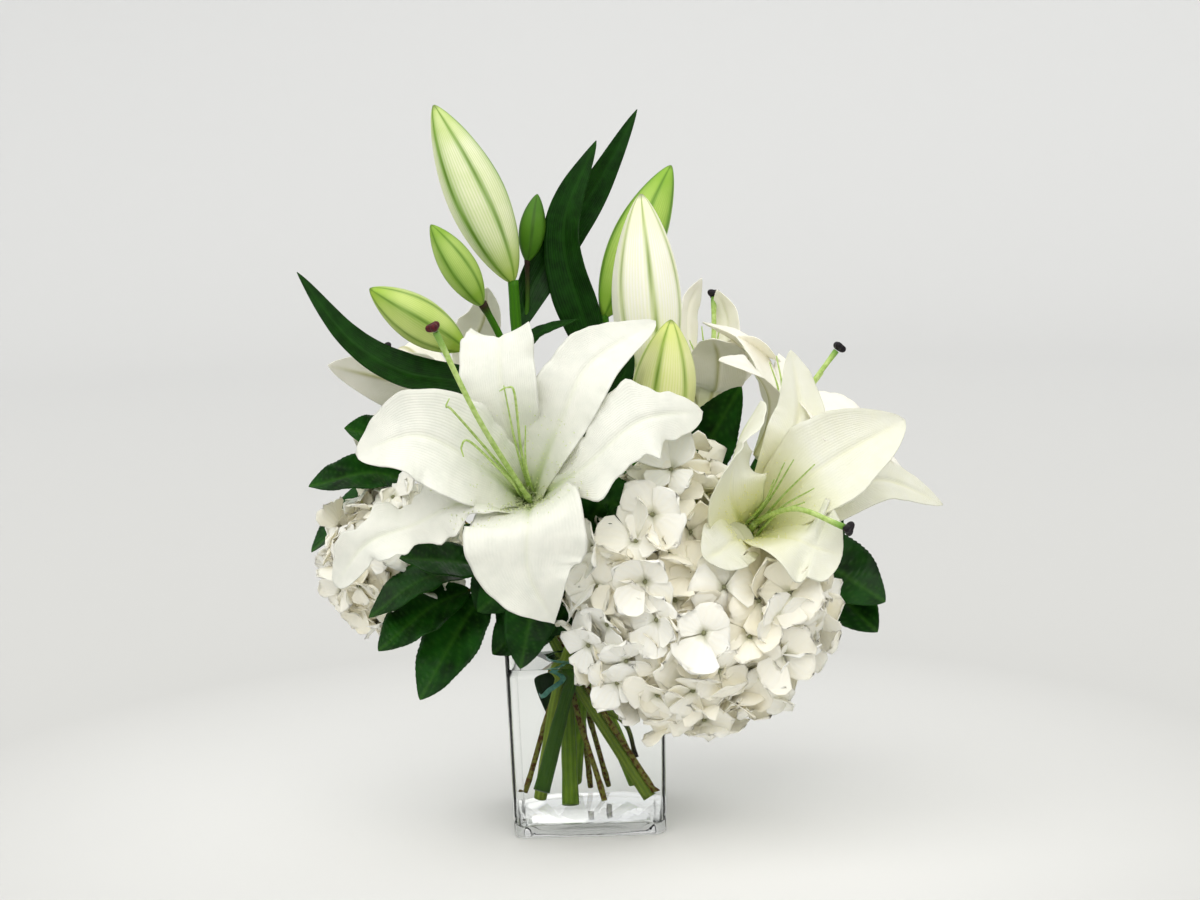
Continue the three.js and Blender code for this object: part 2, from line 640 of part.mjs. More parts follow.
/** The tepals of an open lily on their receptacle. */
function perianth(bloom, swell) {
  const { seat, axis } = poseOf(bloom);
  const ends = [-RECEPTACLE.sunk, RECEPTACLE.length]
    .map((along) => seat.clone().addScaledVector(axis, along));
  const tepals = (bloom.tepals ?? evenTepals(bloom)).map((tepal, k) => {
    const whorl = TEPAL[k % 2 ? "inner" : "outer"];
    const outer = tepal.knots.map(vector);
    const away = across(outer[0].clone().sub(seat), axis);
    const knots = [
      seat.clone().addScaledVector(axis, RECEPTACLE.tepals).addScaledVector(away, whorl.root),
      seat.clone().addScaledVector(axis, bloom.tube).addScaledVector(away, whorl.throat),
      ...outer,
    ];
    const form = { width: tepal.width, wave: tepal.wave, thickness: PETAL_THICKNESS, phase: 2 * k };
    const side = axis.clone().cross(away);
    return blade({ ...PETAL_GRID[bloom.facing], ...whorl, ...form, knots, side }, swell);
  });
  return fuse([rod(ends, RECEPTACLE.radius, FACETS.receptacle, swell), ...tepals]);
}

/** Ovary, style and six filaments, which leave the middle of the flower together. */
function pistil(bloom, swell) {
  const { seat, axis } = poseOf(bloom);
  const start = seat.clone().addScaledVector(axis, PISTIL.start);
  const ovaryTop = start.clone().addScaledVector(axis, PISTIL.ovaryLength);
  const filaments = bloom.filaments.map((tip) => {
    const end = vector(tip);
    const lean = across(end.clone().sub(start), axis);
    const root = start.clone().addScaledVector(axis, FILAMENT.root);
    const leaving = start.clone()
      .addScaledVector(axis, FILAMENT.leaving.along)
      .addScaledVector(lean, FILAMENT.leaving.away);
    const bend = ovaryTop.clone().lerp(end, FILAMENT.bend);
    return rod([root, leaving, bend, end], FILAMENT.radius, FACETS.filament, swell);
  });
  return fuse([
    rod([start, ovaryTop], PISTIL.ovary, FACETS.ovary, swell),
    rod([start, ovaryTop, ...bloom.style.map(vector)], PISTIL.style, FACETS.style, swell),
    ...filaments,
  ]);
}

/** A turned geometry's points moved out and in round its Y axis by a rule of the turn. */
function ribbed(geometry, ruleOf) {
  const places = geometry.attributes.position;
  for (let k = 0; k < places.count; k++) {
    const rib = ruleOf(Math.atan2(places.getX(k), places.getZ(k)));
    places.setXYZ(k, places.getX(k) * rib, places.getY(k), places.getZ(k) * rib);
  }
  return geometry;
}

/** The three-lobed stigma just beyond the end of the style. */
function stigma(bloom, swell) {
  const [before, end] = bloom.style.slice(-2).map(vector);
  const outward = end.clone().sub(before).normalize();
  const knob = new THREE.SphereGeometry(STIGMA.radius + swell, STIGMA.sides, STIGMA.rings);
  const lobed = ribbed(knob.scale(1, STIGMA.squash, 1), (turn) => 1 + STIGMA.lobe * Math.cos(3 * turn));
  const centre = end.addScaledVector(outward, STIGMA.radius * STIGMA.squash + 2 * GAP);
  return solidOf(lobed.applyQuaternion(turnTo(outward)).translate(...centre.toArray()));
}

/** A closed bud: a turned spindle with three ridges and three shallow grooves. */
function bud({ base, tip, radius }, swell) {
  const foot = vector(base);
  const line = vector(tip).sub(foot);
  const profile = Array.from({ length: BUD.rings + 1 }, (_, k) => {
    const s = k / BUD.rings;
    const onAxis = k === 0 || k === BUD.rings;
    const bulge = onAxis ? 0 : Math.sin(Math.PI * s ** BUD.bias) ** BUD.fullness * radius + swell;
    return new THREE.Vector2(bulge, s * line.length() + (2 * s - 1) * swell);
  });
  const spindle = ribbed(new THREE.LatheGeometry(profile, BUD.sides), (turn) =>
    1 + BUD.ridge * Math.cos(3 * turn) + BUD.groove * Math.cos(6 * turn));
  return solidOf(spindle.applyQuaternion(turnTo(line.normalize())).translate(...base));
}

/** One floret of four round lobes, which narrows behind to a root in the head's core. */
function floret({ place: centre, normal, spin, lobe, depth }, swell) {
  const first = across(Math.abs(normal.z) < Math.cos(0.45) ? UP : SIDEWAYS, normal);
  const second = normal.clone().cross(first);
  const outline = [0, 1, 2, 3].flatMap((quarter) => [
    { turn: -Math.PI / 4, reach: FLORET.notch * lobe, sink: 0 },
    { turn: -FLORET.spread, reach: lobe, sink: FLORET.cup * lobe },
    { turn: FLORET.spread, reach: lobe, sink: FLORET.cup * lobe },
  ].map((corner) => ({ ...corner, turn: corner.turn + spin + (Math.PI / 2) * quarter })));
  const points = outline.map(({ turn, reach, sink }) => centre.clone()
    .addScaledVector(first, (reach + 2 * swell) * Math.cos(turn))
    .addScaledVector(second, (reach + 2 * swell) * Math.sin(turn))
    .addScaledVector(normal, -sink));
  const count = outline.length;
  points.push(centre.clone().addScaledVector(normal, FLORET.dome + swell));
  points.push(centre.clone().addScaledVector(normal, -depth - swell));
  const faces = outline.flatMap((_, k) => {
    const next = (k + 1) % count;
    return [count, k, next, count + 1, next, k];
  });
  return solidFrom(points, faces);
}

/** A hydrangea head: florets spread evenly over an egg-shaped core by the golden angle. */
function hydrangeaHead({ centre, semi, florets, lobe, seed, bare }, swell) {
  const random = dice(seed);
  const middle = vector(centre);
  const size = vector(semi);
  const core = new THREE.IcosahedronGeometry(1, 1)
    .scale(...size.clone().multiplyScalar(HEAD.core).addScalar(swell).toArray())
    .translate(...centre);
  const all = Array.from({ length: florets }, (_, k) => {
    const height = 1 - (2 * k + 1) / florets;
    const turn = k * Math.PI * (3 - Math.sqrt(5));
    const ring = Math.sqrt(1 - height * height);
    const ball = new THREE.Vector3(ring * Math.cos(turn), ring * Math.sin(turn), height);
    const lean = vector([0, 0, 0].map(() => random() - 0.5)).multiplyScalar(HEAD.lean);
    const normal = ball.clone().divide(size).normalize().add(lean).normalize();
    const reach = (k % 2 ? HEAD.raised : HEAD.sunk) - HEAD.uneven * random();
    const out = ball.multiply(size);
    const depth = (reach - HEAD.core) * out.length() + HEAD.root;
    const spin = 2 * Math.PI * random();
    return { place: out.multiplyScalar(reach).add(middle), normal, spin, lobe, depth };
  });
  const shown = bare ? all.filter(({ place }) => place.distanceTo(vector(bare.at)) > bare.radius) : all;
  return fuse([solidOf(core), ...shown.map((one) => floret(one, swell))]);
}

// ---------------------------------------------------------------- leaves

/** The lance-shaped leaves of one lily stem. */
const lilyLeaves = (name, swell) =>
  LILY_LEAVES[name].map((leaf, phase) => {
    const place = { knots: grownFrom(name, leaf), face: vector(leaf.face) };
    return blade({ ...LEAF_GRID.lily, ...LILY_LEAF, ...leaf, ...place, phase }, swell);
  });

/** The broad pointed leaves of one sprig, each on a short twig. */
const sprigLeaves = (name, swell) =>
  SPRIG_LEAVES[name].flatMap((leaf, phase) => {
    const place = { knots: grownFrom(name, leaf), face: vector(leaf.face) };
    const twig = [place.knots[0], route(place.knots).getPoint(TWIG.share + TWIG.overlap)];
    return [
      rod(twig, TWIG.radius, FACETS.twig, swell),
      blade({ ...LEAF_GRID.sprig, ...SPRIG_LEAF, ...leaf, ...place, phase }, swell),
    ];
  });

// ---------------------------------------------------------------- vase, water and tie

/** The square vase, with draft, a thick foot and an arched inner floor. */
const vase = () => vaseBlock(0).subtract(hollow(VASE.height + 1, 0));

/** The outside of the vase as a solid block. */
const vaseBlock = (swell) => loft([
  squareRing(VASE.foot / 2 + swell, VASE.corner, -swell),
  squareRing(VASE.rim / 2 + swell, VASE.corner, VASE.height + swell),
]);

/** The inside of the vase up to a level, kept a clearance away from the glass. */
function hollow(level, clearance) {
  const corner = VASE.corner - VASE.wall / 2;
  const bed = VASE.floor + clearance;
  const ringAt = (height, share) =>
    squareRing((innerHalf(height) - clearance) * share, corner * share, height);
  const dome = VASE.domeRings.map((share) => {
    const ring = ringAt(bed, share);
    return ring.map((p) => p.setZ(bed + VASE.dome * (1 - share ** 2)));
  });
  return loft([...dome, ringAt(bed, 1), ringAt(level, 1)]);
}

/** The ring that ties the stems together, pressed a little against the outermost of them. */
function tie(swell) {
  const reach = Math.max(...[...stems.values()].map(({ knots, radius }) => {
    const points = route(knots).getPoints(ROUTE_SAMPLES);
    const tied = points.filter((p) => Math.abs(p.z - TIE.height) < TIE.band / 2);
    return Math.max(...tied.map((p) => Math.hypot(p.x - TIE.x, p.y - TIE.y))) + radius;
  }));
  const inner = reach - TIE.press;
  const band = (radius, extra) => loft([-1, 1].map((end) =>
    roundRing(TIE.x, TIE.y, radius, TIE.height + end * (TIE.band / 2 + extra), TIE.sides)));
  return band(inner + TIE.thickness + swell, swell).subtract(band(inner - swell, swell + 1));
}

// ---------------------------------------------------------------- putting it together

const pieces = new Map();
const taken = [];

/** Whether two solids' boxes meet. */
function boxesMeet(one, other) {
  const [a, b] = [one.boundingBox(), other.boundingBox()];
  return [0, 1, 2].every((k) => a.min[k] <= b.max[k] && b.min[k] <= a.max[k]);
}

/** A shape cut clear of the pieces placed before it, but the free ones, and added to its own. */
function place(name, finish, shape, free = []) {
  const others = taken.filter((other) => other.name !== name && !free.includes(other.name));
  const clear = others.reduce(
    (solid, other) => (boxesMeet(solid, other.solid) ? solid.subtract(other.solid) : solid),
    shape(0),
  );
  const earlier = pieces.get(name);
  pieces.set(name, earlier ? { ...earlier, solid: earlier.solid.add(clear) } : { finish, solid: clear });
  taken.push({ name, solid: shape(GAP) });
}

pieces.set("glass_vase", { finish: "glass", solid: vase() });
for (const name of stems.keys())
  place(name, name in SPRIG_LEAVES ? "foliage" : "stem", (swell) => stemWithStalks(name, swell));
place("stem_tie", "tie", tie);
// Only stems, the tie and the water are inside the vase.
taken.push({ name: "glass_vase", solid: vaseBlock(GAP) });
for (const [name, bloom] of Object.entries(BLOOMS)) {
  place(name + "_pistil", "pistil", (swell) => pistil(bloom, swell));
  place(name + "_stigma", "stigma", (swell) => stigma(bloom, swell));
}
for (const [name, bloom] of Object.entries(BLOOMS))
  place(name + "_tepals", "petal", (swell) => perianth(bloom, swell));
for (const [name, form] of Object.entries(BUDS)) place(name, "bud", (swell) => bud(form, swell));
for (const [name, head] of Object.entries(HEADS))
  place(name, "floret", (swell) => hydrangeaHead(head, swell));
for (const name of Object.keys(LILY_LEAVES))
  place(name, "stem", (swell) => fuse(lilyLeaves(name, swell)));
for (const name of Object.keys(SPRIG_LEAVES))
  place(name, "foliage", (swell) => fuse(sprigLeaves(name, swell)));
place("water", "water", () => hollow(WATER_LEVEL, GAP), ["glass_vase"]);

const bouquet = new THREE.Group();
for (const [name, { finish, solid }] of pieces) {
  const { vertProperties, triVerts } = largest(solid).getMesh();
  const geometry = new THREE.BufferGeometry();
  geometry.setAttribute("position", new THREE.BufferAttribute(vertProperties, 3));
  geometry.setIndex(new THREE.BufferAttribute(triVerts, 1));
  geometry.computeVertexNormals();
  const mesh = new THREE.Mesh(geometry, new THREE.MeshStandardMaterial(FINISHES[finish]));
  mesh.name = name;
  bouquet.add(mesh);
}

export default bouquet;
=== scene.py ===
"""Lilies, hydrangeas and leathery foliage in a square glass vase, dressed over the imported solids.

The tables and the numpy functions work in millimetres, with the same named values as the part's
source: +Z up, the front towards -Y, the origin in the middle of the vase's underside. Meshes are
written in metres in that same frame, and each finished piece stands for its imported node.
"""

import logging
import math
from dataclasses import dataclass, field
from enum import Enum
from itertools import combinations
from typing import Any, Mapping, Sequence

import bpy
import numpy as np
from bpy.types import Material, Node, NodeSocket, Object
from mathutils import Matrix, Vector

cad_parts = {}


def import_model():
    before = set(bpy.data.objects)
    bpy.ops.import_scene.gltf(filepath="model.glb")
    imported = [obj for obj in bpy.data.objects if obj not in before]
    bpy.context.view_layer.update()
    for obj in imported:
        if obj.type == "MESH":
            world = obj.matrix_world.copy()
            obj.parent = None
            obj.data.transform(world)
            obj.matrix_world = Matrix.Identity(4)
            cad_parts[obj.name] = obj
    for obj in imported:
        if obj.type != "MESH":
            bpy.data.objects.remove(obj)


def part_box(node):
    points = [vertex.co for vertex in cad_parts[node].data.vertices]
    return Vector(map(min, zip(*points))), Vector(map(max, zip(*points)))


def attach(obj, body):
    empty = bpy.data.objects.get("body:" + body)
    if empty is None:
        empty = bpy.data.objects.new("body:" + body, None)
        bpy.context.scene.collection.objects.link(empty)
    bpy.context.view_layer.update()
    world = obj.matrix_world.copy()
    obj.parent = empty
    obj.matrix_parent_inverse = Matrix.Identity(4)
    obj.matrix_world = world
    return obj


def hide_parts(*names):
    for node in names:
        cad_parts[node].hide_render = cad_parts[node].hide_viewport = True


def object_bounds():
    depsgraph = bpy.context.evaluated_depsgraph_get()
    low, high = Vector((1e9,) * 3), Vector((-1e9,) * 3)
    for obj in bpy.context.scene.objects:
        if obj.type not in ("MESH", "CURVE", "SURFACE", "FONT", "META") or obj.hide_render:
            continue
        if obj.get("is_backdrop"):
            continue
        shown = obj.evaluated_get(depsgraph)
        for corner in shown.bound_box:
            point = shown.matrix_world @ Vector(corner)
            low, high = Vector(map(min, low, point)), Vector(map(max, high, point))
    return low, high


LOG = logging.getLogger("lilies")
MM = 0.001
ODD_WAY = np.array([0.31, 0.52, 0.79])  # a direction that no stalk or floret follows
WAVE_SCALE = 0.314  # of the wave pattern, for one band across a piece

Array = np.ndarray
Point = tuple[float, float, float]
Paint = dict[str, Array]
ENVELOPE: list[Point] = []


# ---------------------------------------------------------------- curves and directions


def unit(vectors: Array) -> Array:
    """Vectors scaled to length one along the last axis."""
    return vectors / np.maximum(np.linalg.norm(vectors, axis=-1, keepdims=True), 1e-9)


def across(vectors: Array, axis: Array) -> Array:
    """The unit direction of what is left of each vector at right angles to an axis.

    Args:
        vectors: one or more vectors.
        axis: one or more unit directions.

    Returns:
        Unit vectors at right angles to the axis.
    """
    return unit(vectors - (vectors * axis).sum(-1, keepdims=True) * axis)


def circle(count: int) -> Array:
    """The angles of so many even steps round a circle."""
    return 2 * np.pi * np.arange(count) / count


def spokes(hint: Array, axis: Array, turns: Array) -> Array:
    """Unit directions at right angles to an axis.

    Args:
        hint: the direction whose share across the axis is the spoke at angle 0.
        axis: one unit direction, or one for each row.
        turns: the spokes' angles, clockwise seen from the axis's far end.

    Returns:
        The spokes, rows by angles by 3, or angles by 3 for one axis.
    """
    first = across(np.broadcast_to(hint, axis.shape), axis)
    second = np.cross(first, axis)
    ahead, aside = np.cos(turns)[:, None], np.sin(turns)[:, None]
    return ahead * first[..., None, :] + aside * second[..., None, :]


def route(knots: Sequence[Point] | Array, shares: Array) -> tuple[Array, Array]:
    """Points and directions of a uniform Catmull-Rom curve.

    Each span is a cubic Hermite curve whose end slopes are half the chord between the two
    neighbouring knots. The knot before the first and after the last is the mirrored neighbour.

    Args:
        knots: the points that the curve passes through.
        shares: places on the curve from 0 to 1, spread evenly over its spans.

    Returns:
        The points and the unit tangents at the shares.
    """
    knots = np.asarray(knots, float)
    held = np.vstack([2 * knots[0] - knots[1], knots, 2 * knots[-1] - knots[-2]])
    place = np.clip(shares, 0, 1) * (len(knots) - 1)
    span = np.minimum(place.astype(int), len(knots) - 2)
    t = (place - span)[..., None]
    before, start, end, after = (held[span + k] for k in range(4))
    leave, arrive = (end - before) / 2, (after - start) / 2
    points = (
        (2 * t**3 - 3 * t**2 + 1) * start
        + (t**3 - 2 * t**2 + t) * leave
        + (3 * t**2 - 2 * t**3) * end
        + (t**3 - t**2) * arrive
    )
    slopes = (
        (6 * t**2 - 6 * t) * (start - end)
        + (3 * t**2 - 4 * t + 1) * leave
        + (3 * t**2 - 2 * t) * arrive
    )
    return points, unit(slopes)


def smooth_step(low: float, high: float, values: Array) -> Array:
    """A soft ramp from 0 at low to 1 at high: the cubic 3t^2 - 2t^3 of the clipped share t."""
    t = np.clip((values - low) / (high - low), 0, 1)
    return t * t * (3 - 2 * t)


def ripple(values: Array, seed: int, octaves: int = 3) -> Array:
    """A smooth wandering value: sines of rising rates with seeded rates and phases.

    Args:
        values: where it is read, one unit being about one slow wave.
        seed: fixes the rates and phases.
        octaves: how many sines are added, each about twice as fast and half as high.

    Returns:
        Values of about -1 to 1.
    """
    dice = np.random.default_rng(seed)
    total = np.zeros_like(values, float)
    for octave in range(octaves):
        rate = 2**octave * dice.uniform(0.8, 1.25)
        total += np.sin(2 * np.pi * (rate * values + dice.uniform())) / 2**octave
    return total / 1.6


# ---------------------------------------------------------------- meshes


@dataclass
class Shell:
    """Closed skins of four- and three-sided faces, in millimetres.

    Attributes:
        points: corners, n by 3.
        quads: corner numbers of the four-sided faces, m by 4.
        tris: corner numbers of the three-sided faces, k by 3.
        quad_uv: place of each corner of each four-sided face in the unwrapped pattern.
        tri_uv: the same for the three-sided faces.
        paint: values painted on the corners, by name.
    """

    points: Array
    quads: Array
    tris: Array
    quad_uv: Array
    tri_uv: Array
    paint: Paint = field(default_factory=dict)


def closed_skin(
    points: Array, u: Array | None = None, v: Array | None = None, paint: Paint | None = None
) -> Shell:
    """Skins over grids whose columns run round and meet, closed at both ends by fans.

    Rows follow the piece's length and columns run clockwise, seen from its far end, so that the
    faces point outwards. A batch of grids of one size makes a batch of separate skins.

    Args:
        points: batch by rows by columns by 3, or rows by columns by 3.
        u: pattern place of each column and of the seam, or None where they are even.
        v: pattern place of each row, or None where they are even.
        paint: values by name, as the points without their last axis, or one for several.

    Returns:
        The skins as one shell.
    """
    grids = points if points.ndim == 4 else points[None]
    batch, rows, cols = grids.shape[:3]
    u = np.linspace(0, 1, cols + 1) if u is None else u
    v = np.linspace(0, 1, rows) if v is None else v
    stride = rows * cols + 2
    hubs = grids[:, [0, -1]].mean(axis=2)
    corners = np.concatenate([grids.reshape(batch, -1, 3), hubs], axis=1).reshape(-1, 3)
    row, col = np.meshgrid(np.arange(rows - 1), np.arange(cols), indexing="ij")
    after = (col + 1) % cols
    ring = [row * cols + col, (row + 1) * cols + col, (row + 1) * cols + after, row * cols + after]
    quads = np.stack(ring, -1).reshape(-1, 4)
    quad_uv = np.stack(
        [np.stack([u[col + j], v[row + i]], -1) for i, j in ((0, 0), (1, 0), (1, 1), (0, 1))], -2
    ).reshape(-1, 4, 2)
    near, step = np.arange(cols), (np.arange(cols) + 1) % cols
    far, last = (rows - 1) * cols, rows * cols
    start_fan = np.stack([np.full(cols, last), near, step], -1)
    end_fan = np.stack([np.full(cols, last + 1), far + step, far + near], -1)
    tris = np.concatenate([start_fan, end_fan])
    tri_uv = np.zeros((2 * cols, 3, 2))
    tri_uv[:, :, 0] = np.tile(u[:cols, None], (2, 3))
    tri_uv[:cols, :, 1], tri_uv[cols:, :, 1] = v[0], v[-1]
    shift = (np.arange(batch) * stride)[:, None, None]
    painted = {}
    for name, values in (paint or {}).items():
        sheet = np.broadcast_to(values, (batch, rows, cols))
        ends = sheet[:, [0, -1]].mean(axis=2)
        painted[name] = np.concatenate([sheet.reshape(batch, -1), ends], axis=1).reshape(-1)
    return Shell(
        corners,
        (quads[None] + shift).reshape(-1, 4),
        (tris[None] + shift).reshape(-1, 3),
        np.tile(quad_uv, (batch, 1, 1)),
        np.tile(tri_uv, (batch, 1, 1)),
        painted,
    )


def gathered(shells: Sequence[Shell]) -> Shell:
    """Several shells as one, with 0 wherever one of them lacks a painted value."""
    starts = np.cumsum([0] + [len(shell.points) for shell in shells])
    names = {name for shell in shells for name in shell.paint}
    return Shell(
        np.concatenate([shell.points for shell in shells]),
        np.concatenate([shell.quads + start for shell, start in zip(shells, starts)]),
        np.concatenate([shell.tris + start for shell, start in zip(shells, starts)]),
        np.concatenate([shell.quad_uv for shell in shells]),
        np.concatenate([shell.tri_uv for shell in shells]),
        {
            name: np.concatenate(
                [shell.paint.get(name, np.zeros(len(shell.points))) for shell in shells]
            )
            for name in names
        },
    )


def built(name: str, shell: Shell, material: Material) -> Object:
    """A smooth mesh object from a shell, at the origin, in metres.

    Args:
        name: the object's name.
        shell: what it is made of.
        material: its finish.

    Returns:
        The linked object, with a UV map and one attribute for each painted value.
    """
    mesh = bpy.data.meshes.new(name)
    mesh.vertices.add(len(shell.points))
    mesh.vertices.foreach_set("co", (shell.points * MM).astype(np.float32).ravel())
    corners = np.concatenate([shell.quads.ravel(), shell.tris.ravel()]).astype(np.int32)
    sizes = np.concatenate([np.full(len(shell.quads), 4), np.full(len(shell.tris), 3)])
    mesh.loops.add(len(corners))
    mesh.loops.foreach_set("vertex_index", corners)
    mesh.polygons.add(len(sizes))
    starts = np.concatenate([[0], np.cumsum(sizes)[:-1]]).astype(np.int32)
    mesh.polygons.foreach_set("loop_start", starts)
    mesh.polygons.foreach_set("use_smooth", np.ones(len(sizes), bool))
    layer = mesh.uv_layers.new(name="Pattern")
    places = np.concatenate([shell.quad_uv.reshape(-1, 2), shell.tri_uv.reshape(-1, 2)])
    layer.data.foreach_set("uv", places.astype(np.float32).ravel())
    for key, values in shell.paint.items():
        painted = mesh.attributes.new(key, "FLOAT", "POINT")
        painted.data.foreach_set("value", values.astype(np.float32))
    mesh.update(calc_edges=True)
    mesh.validate()
    mesh.materials.append(material)
    piece = bpy.data.objects.new(name, mesh)
    bpy.context.collection.objects.link(piece)
    return piece


def dressed(node: str, shell: Shell, material: Material) -> Object:
    """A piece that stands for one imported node, rides with the vase and keeps to the solids' box.

    Args:
        node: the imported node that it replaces.
        shell: its finer shape.
        material: its finish.

    Returns:
        The object.
    """
    shell.points = np.clip(shell.points, *(np.array(corner) / MM for corner in ENVELOPE))
    piece = built(f"{node}_dressed", shell, material)
    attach(piece, "root")
    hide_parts(node)
    LOG.info("%s: %d points", node, len(shell.points))
    return piece


# ---------------------------------------------------------------- basic forms


def tube(
    knots: Sequence[Point] | Array, radii: Array, sides: int, paint: Paint | None = None
) -> Shell:
    """A round rod along a route: at each step a circle across the tangent.

    The circle starts from one fixed direction, the axis that the rod leans on least, with its
    share along the tangent taken out.

    Args:
        knots: the route's points.
        radii: the radius of each ring from end to end.
        sides: points round the rod.
        paint: values for each ring.

    Returns:
        The closed rod.
    """
    middle, along = route(knots, np.linspace(0, 1, len(radii)))
    hint = np.eye(3)[np.argmin(np.abs(along).mean(axis=0))]
    grid = middle[:, None] + radii[:, None, None] * spokes(hint, along, circle(sides))
    spread = {name: values[:, None] for name, values in (paint or {}).items()}
    return closed_skin(grid, paint=spread)


@dataclass(frozen=True)
class BladeForm:
    """The form of a petal or leaf along its route.

    Attributes:
        width: across its widest part.
        thickness: in its middle; its rim has `rim` of it.
        start: share of the route where it begins.
        neck: share that is a narrow base of even width.
        neck_half: half the width of that base.
        fullness: power of the sine that gives its outline.
        bias: power of the share, below 1 for a widest part nearer the base.
        cup: how far the edges are lifted, by the half width.
        rolled: further lift near the base.
        wave: height of the slow wave of its edges.
        waves: how many of those there are.
        phase: where the waves start.
        ruffle: height of the fine irregular wave of its edges.
        uneven: how far its outline wanders in and out, by the half width.
        flare: how far its edges are lifted near the tip, by the half width.
        twist: turn about the midrib beyond the neck, in degrees.
        furrow: depth of the groove over its midrib.
        pleats: side veins that quilt it, as pairs.
        teeth: pairs of fine teeth on its edge.
        seed: fixes what is irregular in it.
    """

    width: float
    thickness: float
    start: float = 0.0
    neck: float = 0.0
    neck_half: float = 1.5
    fullness: float = 0.75
    bias: float = 0.9
    cup: float = 0.2
    rolled: float = 0.0
    wave: float = 1.0
    waves: float = 2.5
    phase: float = 0.0
    ruffle: float = 0.0
    uneven: float = 0.0
    flare: float = 0.0
    twist: float = 0.0
    furrow: float = 0.5
    pleats: float = 0.0
    teeth: float = 0.0
    rim: float = 0.45
    seed: int = 0


def blade(
    knots: Array, form: BladeForm, rows: int, cols: int, side: Array | None = None,
    face: Array | None = None,
) -> tuple[Shell, Array, Array]:
    """A petal or leaf with two skins along a route.

    Across the route the half width is a sine of the share raised to a power, joined smoothly to
    the neck. The middle surface is lifted by the square of the place v across it (cup and roll),
    by slow and fine waves that grow towards the edge, and sunk over the midrib and the side
    veins. Both skins lie half the thickness off it, less near the rim.

    Args:
        knots: the points of its midrib.
        form: its sizes.
        rows: spans along it.
        cols: spans across it.
        side: the fixed direction across it, or None where `face` says where it looks.
        face: the direction that it looks in.

    Returns:
        The closed blade with its painted values, its middle surface as rows by columns by 3,
        and the surface's unit fronts.
    """
    share = np.linspace(0, 1, rows + 1)
    v = np.linspace(-1, 1, cols + 1)
    middle, along = route(knots, form.start + (1 - form.start) * share)
    hint = side if side is not None else np.cross(face, along)
    level = across(np.broadcast_to(hint, along.shape), along)
    turn = (math.radians(form.twist) * smooth_step(0, 0.45, share))[:, None]
    right = np.cos(turn) * level + np.sin(turn) * np.cross(along, level)
    front = np.cross(along, right)
    open_share = np.clip((share - form.neck) / (1 - form.neck), 0, 1)
    bulge = form.width / 2 * np.maximum(np.sin(np.pi * open_share**form.bias), 0) ** form.fullness
    neck = form.neck_half * (1 - smooth_step(form.neck, form.neck + 0.45, share))
    neck *= 0.75 + 0.25 * smooth_step(0, max(form.neck, 0.08), share)
    half = np.maximum((bulge**4 + neck**4) ** 0.25, 0.25)[:, None]
    if form.teeth:
        saw = (share * form.teeth) % 1.0
        half = half * (1 + (0.035 * (saw - 0.5) * smooth_step(0.03, 0.12, share))[:, None])
    s, w = share[:, None], v[None, :]
    edge = np.where(w > 0, ripple(s * 4, form.seed + 7), ripple(s * 4, form.seed + 23))
    half = half * (1 + form.uneven * edge * np.abs(w) * np.sin(np.pi * s) ** 0.5)
    swing = np.sin(2 * np.pi * form.waves * s + form.phase + w) * np.sin(np.pi * s)
    lift = (form.cup + form.rolled * (1 - s) ** 4) * half * w * w + form.wave * np.abs(w) * swing
    lift = lift + form.flare * half * w * w * smooth_step(0.45, 0.95, s)
    lift = lift + form.ruffle * np.abs(w) ** 3 * edge * np.sin(np.pi * s) ** 0.5
    reach = np.abs(w) * half
    furrow = form.furrow * np.exp(-((reach / 2.0) ** 2)) * (1 - smooth_step(0.8, 1, s))
    vein = np.zeros((rows + 1, cols + 1))
    if form.pleats:
        rank = form.pleats * (s - 0.30 * np.abs(w) ** 0.8)
        vein = np.exp(-(((rank - np.round(rank)) / 0.09) ** 2)) * (1 - np.abs(w) ** 6)
        lift = lift - 0.28 * vein * smooth_step(0.02, 0.1, s) * (1 - smooth_step(0.85, 1, s))
    lift = lift - furrow
    right, front = right[:, None], front[:, None]
    surface = middle[:, None] + right * (half * w)[..., None] + front * lift[..., None]
    thick = form.thickness / 2 * (form.rim + (1 - form.rim) * (1 - w**4)) * np.ones_like(s)
    offset = front * thick[..., None]
    both = np.concatenate([surface + offset, (surface - offset)[:, ::-1]], axis=1)
    around = np.concatenate([(v + 1) / 2, (1 - v) / 2, [0]])
    mirrored = lambda values: np.concatenate([values, values[:, ::-1]], axis=1)
    full = np.ones((rows + 1, cols + 1))
    paint = {
        "share": mirrored(s * full),
        "reach": mirrored(np.abs(w) * full),
        "midrib": mirrored(np.exp(-((reach / 1.3) ** 2)) * full),
        "vein": mirrored(vein),
        "groove": mirrored(np.exp(-((reach / 2.8) ** 2)) * full),
        "back": np.concatenate([0 * full, full], axis=1),
    }
    return closed_skin(both, around, share, paint), surface, np.broadcast_to(front, surface.shape)


def spikes(roots: Array, directions: Array, length: Array, radius: float) -> Shell:
    """Small four-sided cones.

    Args:
        roots: the middle of each cone's foot.
        directions: the unit direction of each cone.
        length: the length of each cone.
        radius: of their feet.

    Returns:
        The cones, closed below.
    """
    ring = spokes(ODD_WAY, directions, circle(4))
    heights = np.array([-0.15, 0.55, 1.0])
    sizes = radius * np.array([1.0, 0.75, 0.2])
    grid = (
        roots[:, None, None]
        + directions[:, None, None] * (heights[None, :, None] * length[:, None, None])[..., None]
        + ring[:, None] * sizes[None, :, None, None]
    )
    return closed_skin(grid, v=heights)


# ---------------------------------------------------------------- finishes


